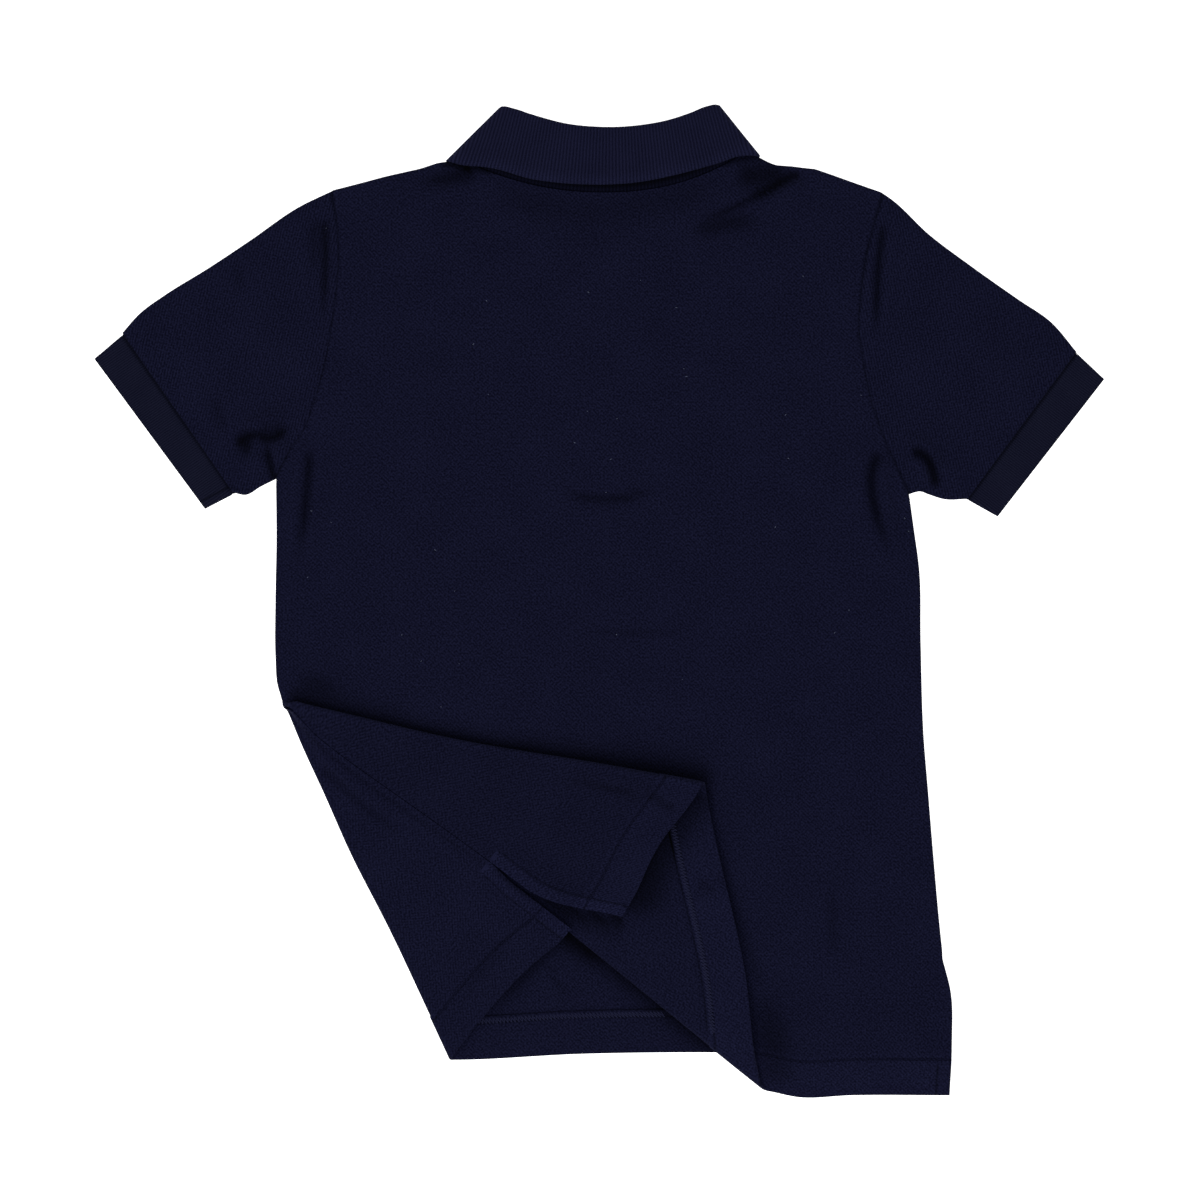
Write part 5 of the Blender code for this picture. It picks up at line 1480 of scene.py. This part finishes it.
def thread_mesh(name, starts, ends, radius, rise):
    """Threads as closed spindles from each start to each end: five rings of six about an axis.

    The radius at fraction f of a stitch is radius x sqrt(sin(pi f)), and its middle is raised by
    rise x sin(pi f).
    """
    f = np.array((0.02, 0.2, 0.5, 0.8, 0.98))
    turn = np.linspace(0.0, 2.0 * math.pi, 6, endpoint=False)
    axis = (ends - starts) / np.linalg.norm(ends - starts, axis=1, keepdims=True)
    side = np.cross(axis, np.array((0.0, 0.0, 1.0)))
    side = side / np.linalg.norm(side, axis=1, keepdims=True)
    up = np.cross(side, axis)
    centre = starts[:, None] + f[None, :, None] * (ends - starts)[:, None]
    centre[..., 2] += rise * np.sin(math.pi * f)
    size = radius * np.sqrt(np.sin(math.pi * f))
    ring = (
        np.cos(turn)[None, None, :, None] * side[:, None, None]
        + np.sin(turn)[None, None, :, None] * up[:, None, None]
    )
    points = centre[:, :, None] + size[None, :, None, None] * ring
    count = len(starts)
    each = len(f) * len(turn)
    index = np.arange(each).reshape(len(f), len(turn))
    around = np.roll(index, -1, axis=1)
    quads = np.stack((index[:-1], around[:-1], around[1:], index[1:]), axis=-1).reshape(-1, 4)
    base = np.arange(count)[:, None, None] * each
    quads = (quads[None] + base).reshape(-1, 4)
    caps = np.stack((index[0, ::-1], index[-1]))
    caps = (caps[None] + base).reshape(-1, len(turn))
    mesh = bpy.data.meshes.new(name)
    mesh.from_pydata((points.reshape(-1, 3) * MM).tolist(), [], quads.tolist() + caps.tolist())
    mesh.shade_smooth()
    return mesh


def points_along(path, run, at):
    """Points of a path, whose distances along it are given, at other distances."""
    return np.stack([np.interp(at, run, path[:, k]) for k in range(3)], axis=-1)


def running(path):
    """Start and end of each stitch of a running seam along a path of placed points."""
    run = lengths(path)
    starts = np.arange(STITCH_GAP, run[-1] - STITCH, STITCH + STITCH_GAP)
    return points_along(path, run, starts), points_along(path, run, starts + STITCH)


def looped(low, high):
    """A coverstitch's slanting threads between two paths that run side by side."""
    run = lengths(low)
    starts = np.arange(LOOP_PITCH, run[-1] - 2.0 * LOOP_PITCH, LOOP_PITCH)
    over = points_along(high, run, starts + LOOP_LEAN * LOOP_PITCH)
    return (
        np.concatenate((points_along(low, run, starts), over)),
        np.concatenate((over, points_along(low, run, starts + LOOP_PITCH))),
    )


def sewn(name, lines, material, radius, rise):
    """One piece made of many stitches, given as (starts, ends)."""
    starts = np.concatenate([line[0] for line in lines])
    ends = np.concatenate([line[1] for line in lines])
    mesh = thread_mesh(name, starts, ends, radius, rise)
    piece = bpy.data.objects.new(name, mesh)
    bpy.context.scene.collection.objects.link(piece)
    mesh.materials.append(material)
    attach(piece, "root")
    return piece


def hem_path(lay, hem, stops_of, start, stop, above, face, inset):
    """Placed points at a height above a hem, from one stop to another, on one face of the cloth.

    inset is where the path begins and ends, in shares of the way between the two stops.
    """
    f = np.linspace(*inset, PATH_POINTS)
    distance = np.full(PATH_POINTS, FLAP_REACH)
    for _ in range(ROUNDS):
        stops = stops_of(distance)
        angle = ((1.0 - f) * stops[start] + f * stops[stop]) / distance
        distance = hem_reach(hem, angle, above)
    x, y = from_polar(distance, angle)
    ply = 1.0 if above < HEM_DEEP else 0.0
    return on_face(lay, x, y, ply, face)


def on_face(lay, x, y, ply=0.0, face=1.0):
    """Placed points on the upper face (1) or the lower face (-1) of the cloth."""
    place = lay(x, y)[..., :3]
    place[..., 2] += face * ((WALL + TURN_UP * ply) / 2.0 + ON_CLOTH)
    return place


def build_sewing(thread, pale, middling):
    """Hem and vent stitching, the coverstitch's loops inside the hems, and two bar tacks."""
    lines = []
    for lay, hem, stops_of, start, stop, face, inset in (
        (lay_back, HEM_BACK, back_stops, "flap_out", "seam", 1.0, (0.0, 0.98)),
        (lay_front, HEM_FRONT, front_stops, "over_out", "seam", 1.0, (0.0, 0.98)),
        (lay_front, HEM_FRONT, front_stops, "corner", "over_in", -1.0, (0.0, 1.0)),
    ):
        lines.append(running(hem_path(lay, hem, stops_of, start, stop, STITCHED, face, inset)))
    x = np.linspace(HEM_BACK[0][0] - EDGE_IN, HEM_SHOWS_TO, PATH_POINTS)
    lines.append(running(on_face(lay_back, x, hem_line(HEM_BACK, x) + STITCHED, 1.0)))
    down = np.linspace(0.0, 1.0, VENT_POINTS)
    for lay, vent, face in ((lay_back, VENT_BACK, 1.0), (lay_front, VENT_FRONT, -1.0)):
        x, y = through(vent, down).T
        lines.append(running(on_face(lay, x - FACING, y, 0.0, face)))
    for lay, hem in ((lay_back, HEM_BACK), (lay_front, HEM_FRONT)):
        reach = float(hem_reach(hem, *FACING_ENDS))
        distance = np.linspace(VENT_TOP, reach, VENT_POINTS)
        x, y = from_polar(distance, facing_arc(distance) / distance)
        lines.append(running(on_face(lay, x, y)))
    sewn("hem_stitching", lines, thread, STITCH_RADIUS, STITCH_RISE)

    loops = []
    for lay, hem, stops_of, start, stop, inset in (
        (lay_back, HEM_BACK, back_stops, "under_out", "flap_in", (0.01, 0.99)),
        (lay_front, HEM_FRONT, front_stops, "corner", "over_in", (0.3, 1.0)),
    ):
        loops.append(looped(*(
            hem_path(lay, hem, stops_of, start, stop, above, 1.0, inset) for above in LOOP_ROWS)))
    sewn("coverstitch_loops", loops, pale, LOOP_RADIUS, KNOT_RISE)

    tacks = []
    rows = np.linspace(VENT_TOP - TACK_HALF, VENT_TOP + TACK_HALF, TACK_THREADS)
    for lay in (lay_back, lay_front):
        near = on_face(lay, *from_polar(rows, SEAM_CUT + EDGE_IN / rows))
        far = on_face(lay, *from_polar(rows, facing_arc(rows) / rows))
        tacks.append((near, far))
    sewn("bar_tacks", tacks, middling, TACK_RADIUS, KNOT_RISE)


def build_lint(material):
    """A few specks and short fibres of pale lint on the upper face."""
    rng = np.random.default_rng(FIBRE_SEED)
    x = rng.uniform(*FIBRES_X, FIBRES)
    y = rng.uniform(*FIBRES_Y, FIBRES)
    centre = on_face(lay_back, x, y)
    centre[:, 2] += FIBRE_LIFT
    turn = rng.uniform(0.0, 2.0 * math.pi, FIBRES)
    half = rng.uniform(*FIBRE_HALF, FIBRES)[:, None]
    way = np.stack((np.cos(turn), np.sin(turn), np.zeros(FIBRES)), axis=-1) * half
    sewn("lint", [(centre - way, centre + way)], material, FIBRE_RADIUS, 0.0)


# ---------------------------------------------------------------- the pieces

# rows and columns of the tubes
SLEEVE_ALONG = np.concatenate(((0.0, 0.002, 0.008, 0.018), np.linspace(0.035, 1.0, 58)))
CUFF_ALONG = np.concatenate(((0.0, 0.04, 0.08, 0.12, 0.16, 0.21), np.linspace(0.27, 1.0, 12)))
TUBE_FACE = np.concatenate((np.linspace(0.0, 0.94, 51), np.linspace(0.945, 1.0, 13)))
TUBE_TURNS = 8
SHORT_BY = {"left": 2.6, "right": 0.8}        # the upper layer stops short of the lower by this
SHORT_RUN = (8.0, 60.0)
SHORT_AT_ONCE = (-1.0, 0.0)
SLEEVE_TUCK = 0.7                             # under the neighbouring piece
CUFF_TUCK = 2.2
FACE_LIFT = (0.2, 1.0)                        # the part of the section that counts as a face
UNDER_SHARE = 0.3                             # of a ridge shows on the underside
HEAD_DIP = 1.2                                # of a sleeve at the armhole seam: how deep, then
HEAD_DIP_AT = (0.0, 1.1)                      # where and how wide
CUFF_RISE = 0.6                               # and its rise at the cuff's seam
CUFF_RISE_AT = (0.4, 1.6)
HEAD_SHADE = 0.8
HEAD_SHADE_AT = (0.6, 0.9)
CUFF_DIP = 1.2                                # a cuff is closed up inside the sleeve's end
CUFF_DIP_RUN = (1.8, 4.0)
CUFF_SHADE = 0.75
CUFF_SHADE_RUN = (2.0, 3.4)
LAYER_SHADE = 0.85                            # beside the upper layer's edge
LAYER_SHADE_AT = (1.3, 0.6)
LAYER_SHADE_RUN = (10.0, 40.0)
COLLAR_STATIONS = 260
COLLAR_LEGS = 14
FAR_IN = 1000.0                               # a distance that reaches no stitched line


def build_body(cloth):
    """The back and the front; returns the front's placed points."""
    flat, place, ply, thin = back_surface()
    back = body_piece("shirt_back", flat, place, HEM_BACK, VENT_BACK, (ply, thin), cloth)

    front_flat, front_place, ply, thin = front_surface()
    skip = np.zeros((front_flat.shape[0] - 1, front_flat.shape[1] - 1), dtype=bool)
    first = len(HEAD_SIDE) - 1
    skip[:len(CHEST) - 1, first + SLOT_COLUMNS[0]:first + SLOT_COLUMNS[1]] = True
    front = body_piece(
        "shirt_front", front_flat, front_place, HEM_FRONT, VENT_FRONT, (ply, thin), cloth, skip)
    return front_place


def body_piece(name, flat, place, hem, vent, thick, cloth, skip=None):
    """A body panel, welded, with its wall; thick is the hem's ply and the rounding of edges."""
    x, y = flat[..., 0], flat[..., 1]
    edges = np.stack((above_hem(hem, x, y), vent_distance(x, y, vent)), axis=-1)
    mesh = grid_mesh(name, place, {"cloth": flat, "edges": edges}, skip=skip)
    ply, thin = thick
    layer = mesh.attributes.new("ply", "FLOAT", "POINT")
    share = (WALL + TURN_UP * ply) / (WALL + TURN_UP) * thin
    layer.data.foreach_set("value", share.astype(np.float32).ravel())
    weld(mesh)
    kept = np.zeros(len(mesh.vertices), dtype=np.float32)
    mesh.attributes["ply"].data.foreach_get("value", kept)
    node = name.replace("shirt_", "") + "_panel"
    return cloth_piece(name, mesh, WALL + TURN_UP, cloth, node, kept)


def vent_distance(x, y, vent):
    """Distance in from a vent's edge: on the right within the hem, on the left below its top."""
    right = np.interp(-y, [-p[1] for p in vent], [p[0] for p in vent]) - x
    below = above_hem(HEM_BACK, x, y) < STITCHED
    distance, angle = polar(x, y)
    left = distance * (angle - SEAM_CUT)
    left = np.where(distance > VENT_TOP, left, FAR_IN)
    right = np.where(below, right, FAR_IN)
    return np.where((angle < FLAP_CUT) & (y < APEX[1]), left, right)


def build_sleeves(cloth, rib):
    """Both sleeves, each with its cuff."""
    for side, outline, cuff_outline, folds in (
        ("left", (SLEEVE_LEFT_TOP, SLEEVE_LEFT_UNDER, ARMHOLE_LEFT),
         (CUFF_LEFT_TOP, CUFF_LEFT_UNDER), CREASES_SLEEVE_LEFT),
        ("right", (SLEEVE_RIGHT_TOP, SLEEVE_RIGHT_UNDER, ARMHOLE_RIGHT),
         (CUFF_RIGHT_TOP, CUFF_RIGHT_UNDER), CREASES_SLEEVE_RIGHT),
    ):
        build_sleeve(side, *outline, folds, cloth)
        build_cuff(side, *cuff_outline, rib)


def build_sleeve(side, top, under, armhole, folds, cloth):
    """A sleeve: creased, with a dip at the armhole seam and a rise at the cuff's seam."""
    top, under = tucked(top, SLEEVE_TUCK), tucked(under, SLEEVE_TUCK)
    start = np.array(armhole) - (-1.0 if side == "left" else 1.0, 0.0)
    start[0] = top[0]
    start[-1] = under[0]
    short = SHORT_BY[side]
    grid, uv, lift = tube_surface(
        top, under, start, (top[-1], under[-1]), SLEEVE_ALONG, WALL, short, SHORT_RUN)
    upper = smooth(*FACE_LIFT, lift)[None, :]
    lower = smooth(*FACE_LIFT, -lift)[None, :]
    folded, trough = creases(grid[..., 0], grid[..., 1], folds)
    far = np.linalg.norm(grid - grid[:1], axis=-1)
    end = np.linalg.norm(grid - grid[-1:], axis=-1)
    seam = CUFF_RISE * bell(end, *CUFF_RISE_AT) - HEAD_DIP * bell(far, *HEAD_DIP_AT)
    below = UNDER_SHARE * np.maximum(folded, 0.0) - seam
    grid[..., 2] += upper * (folded + seam) + lower * below
    grid[..., 2] = np.maximum(grid[..., 2], WALL / 2.0)
    shade = TROUGH_SHADE * upper * trough + HEAD_SHADE * bell(far, *HEAD_SHADE_AT)
    shade = shade + layer_line(grid, short) * smooth(*LAYER_SHADE_RUN, far)
    grid = np.concatenate((grid, shade[..., None]), axis=-1)
    mesh = grid_mesh("sleeve_" + side + "_cloth", grid, {"cloth": uv}, closed=True)
    sleeve = cloth_piece("sleeve_" + side + "_cloth", mesh, WALL, cloth, "sleeve_" + side)


def build_cuff(side, top, under, rib):
    """A cuff: its first few millimetres are closed up inside the sleeve's end."""
    top, under = tucked(top, CUFF_TUCK), tucked(under, CUFF_TUCK)
    short = SHORT_BY[side]
    cuff, uv, lift = tube_surface(
        top, under, (top[0], under[0]), (top[-1], under[-1]), CUFF_ALONG, CUFF_WALL, short,
        SHORT_AT_ONCE)
    far = np.linalg.norm(cuff - cuff[:1], axis=-1)
    cuff[..., 2] -= lift[None, :] * CUFF_DIP * (1.0 - smooth(*CUFF_DIP_RUN, far))
    cuff[..., 2] = np.maximum(cuff[..., 2], CUFF_WALL / 2.0)
    shade = CUFF_SHADE * (1.0 - smooth(*CUFF_SHADE_RUN, far)) + layer_line(cuff, short)
    cuff = np.concatenate((cuff, shade[..., None]), axis=-1)
    mesh = grid_mesh("cuff_" + side + "_rib", cuff, {"cloth": uv}, closed=True)
    band = cloth_piece("cuff_" + side + "_rib", mesh, CUFF_WALL, rib, "cuff_" + side)


def layer_line(grid, short):
    """Painted shade along the upper layer's edge, where it stops short of the layer under it."""
    line = np.zeros(grid.shape[:2])
    if short > 1.0:
        face = grid[:, :len(TUBE_FACE), :2]
        width = np.linalg.norm(face - face[:, -1:], axis=-1)
        line[:, :len(TUBE_FACE)] = LAYER_SHADE * bell(width, *LAYER_SHADE_AT)
    return line


def tucked(rows, more):
    """An outline whose first point is moved back under the neighbouring piece."""
    rows = np.array(rows, float)
    step = rows[1] - rows[0]
    rows[0] -= more * step / np.linalg.norm(step)
    return rows


def build_collar(rib):
    """The collar, as long on the flat as its mean ring."""
    grid, uv = collar_surface(COLLAR_STATIONS, COLLAR_LEGS)
    mesh = grid_mesh("collar_rib", grid, {"cloth": uv})
    piece = cloth_piece("collar_rib", mesh, RIB_WALL, rib, "collar")


def build_placket(cloth, place):
    """Two strips in the front's slit, one over the other, from the front's placed points."""
    first = len(HEAD_SIDE) - 1
    left = place[:len(CHEST), first + SLOT_COLUMNS[0], :3]
    right = place[:len(CHEST), first + SLOT_COLUMNS[1], :3]
    f = np.linspace(0.0, 1.0, 17)[None, :, None]
    for name, lift in (("placket_over", 0.0), ("placket_under", PITCH)):
        strip = left[:, None] + f * (right - left)[:, None]
        dip = neck_line(strip[0, :, 0], NECK_FRONT_Y, NECK_FRONT_POWER) - strip[0, :, 1]
        strip[..., 1] += (1.0 - CHEST)[:, None] * dip
        strip[:, 0, 0] += SEAM_GAP
        strip[:, -1, 0] -= SEAM_GAP
        strip[-1, :, 1] += SEAM_GAP
        strip[..., 2] += lift
        wide = np.minimum(strip[..., 0] - strip[:, :1, 0], strip[:, -1:, 0] - strip[..., 0])
        edges = np.stack((np.full(wide.shape, FAR_IN), wide + FACING - 2.5), axis=-1)
        mesh = grid_mesh(name + "_cloth", strip, {"cloth": strip[..., :2], "edges": edges})
        piece = cloth_piece(name + "_cloth", mesh, WALL, cloth, name)


# ---------------------------------------------------------------- stage and camera, in metres

FLOOR_HALF = 6.0
FLOOR_Z = -0.0002
FLOOR_GLOW = 0.7
SKY = 1.08
KEY_PLACE = (-0.5, -0.8, 2.0)
KEY_SIZE = 1.5
KEY_POWER = 31.0
FRAME_WIDE = 0.672
CAMERA_PLACE = (0.00056, 0.00084)
CAMERA_FAR = 2.4
FRAME_Z = 0.004               # the frame is that wide at this height
SENSOR = 36.0
WHITE = (1.0, 1.0, 1.0, 1.0)


def build_stage():
    """A pale floor, an even sky and one wide, soft lamp."""
    mesh = bpy.data.meshes.new("floor")
    size = FLOOR_HALF
    corners = [(-size, -size, 0.0), (size, -size, 0.0), (size, size, 0.0), (-size, size, 0.0)]
    mesh.from_pydata(corners, [], [(0, 1, 2, 3)])
    floor = bpy.data.objects.new("floor", mesh)
    floor.location.z = FLOOR_Z
    bpy.context.scene.collection.objects.link(floor)
    n = Nodes("floor")
    n.shader.inputs["Base Color"].default_value = FLOOR
    n.shader.inputs["Roughness"].default_value = 0.9
    n.shader.inputs["Emission Color"].default_value = WHITE
    n.shader.inputs["Emission Strength"].default_value = FLOOR_GLOW
    mesh.materials.append(n.material)

    world = bpy.data.worlds.new("studio")
    world.use_nodes = True
    world.node_tree.nodes["Background"].inputs["Color"].default_value = WHITE
    world.node_tree.nodes["Background"].inputs["Strength"].default_value = SKY
    bpy.context.scene.world = world
    bpy.context.scene.view_settings.view_transform = "Standard"

    light = bpy.data.lights.new("key", "AREA")
    light.shape = "DISK"
    light.size = KEY_SIZE
    light.energy = KEY_POWER
    key = bpy.data.objects.new("key", light)
    key.location = KEY_PLACE
    key.rotation_euler = (-Vector(KEY_PLACE)).to_track_quat("-Z", "Y").to_euler()
    bpy.context.scene.collection.objects.link(key)


def build_camera():
    """Straight above, far off, framing a square."""
    lens = bpy.data.cameras.new("camera")
    lens.sensor_width = SENSOR
    lens.sensor_fit = "HORIZONTAL"
    lens.lens = SENSOR * CAMERA_FAR / FRAME_WIDE
    camera = bpy.data.objects.new("camera", lens)
    camera.location = (*CAMERA_PLACE, CAMERA_FAR + FRAME_Z)
    bpy.context.scene.collection.objects.link(camera)
    bpy.context.scene.camera = camera


def main():
    """Make every piece, the stage and the camera."""
    cloth = pique_material("navy pique", True)
    sleeve_cloth = pique_material("navy pique sleeve", False)
    rib = rib_material("collar rib", COLLAR_PITCH, RIB_PALE, True)
    cuff_rib = rib_material("cuff rib", CUFF_PITCH, CUFF_PALE)
    front = build_body(cloth)
    build_sleeves(sleeve_cloth, cuff_rib)
    build_collar(rib)
    build_placket(cloth, front)
    build_sewing(
        thread_material("thread", THREAD), thread_material("looper thread", LOOPER),
        thread_material("tack thread", TACK))
    build_lint(thread_material("lint", LINT))
    resin = button_material()
    for name in ("button_upper", "button_lower"):
        for slot in bpy.data.objects[name].material_slots:
            slot.material = resin
    build_stage()
    build_camera()
    bpy.context.view_layer.update()


main()
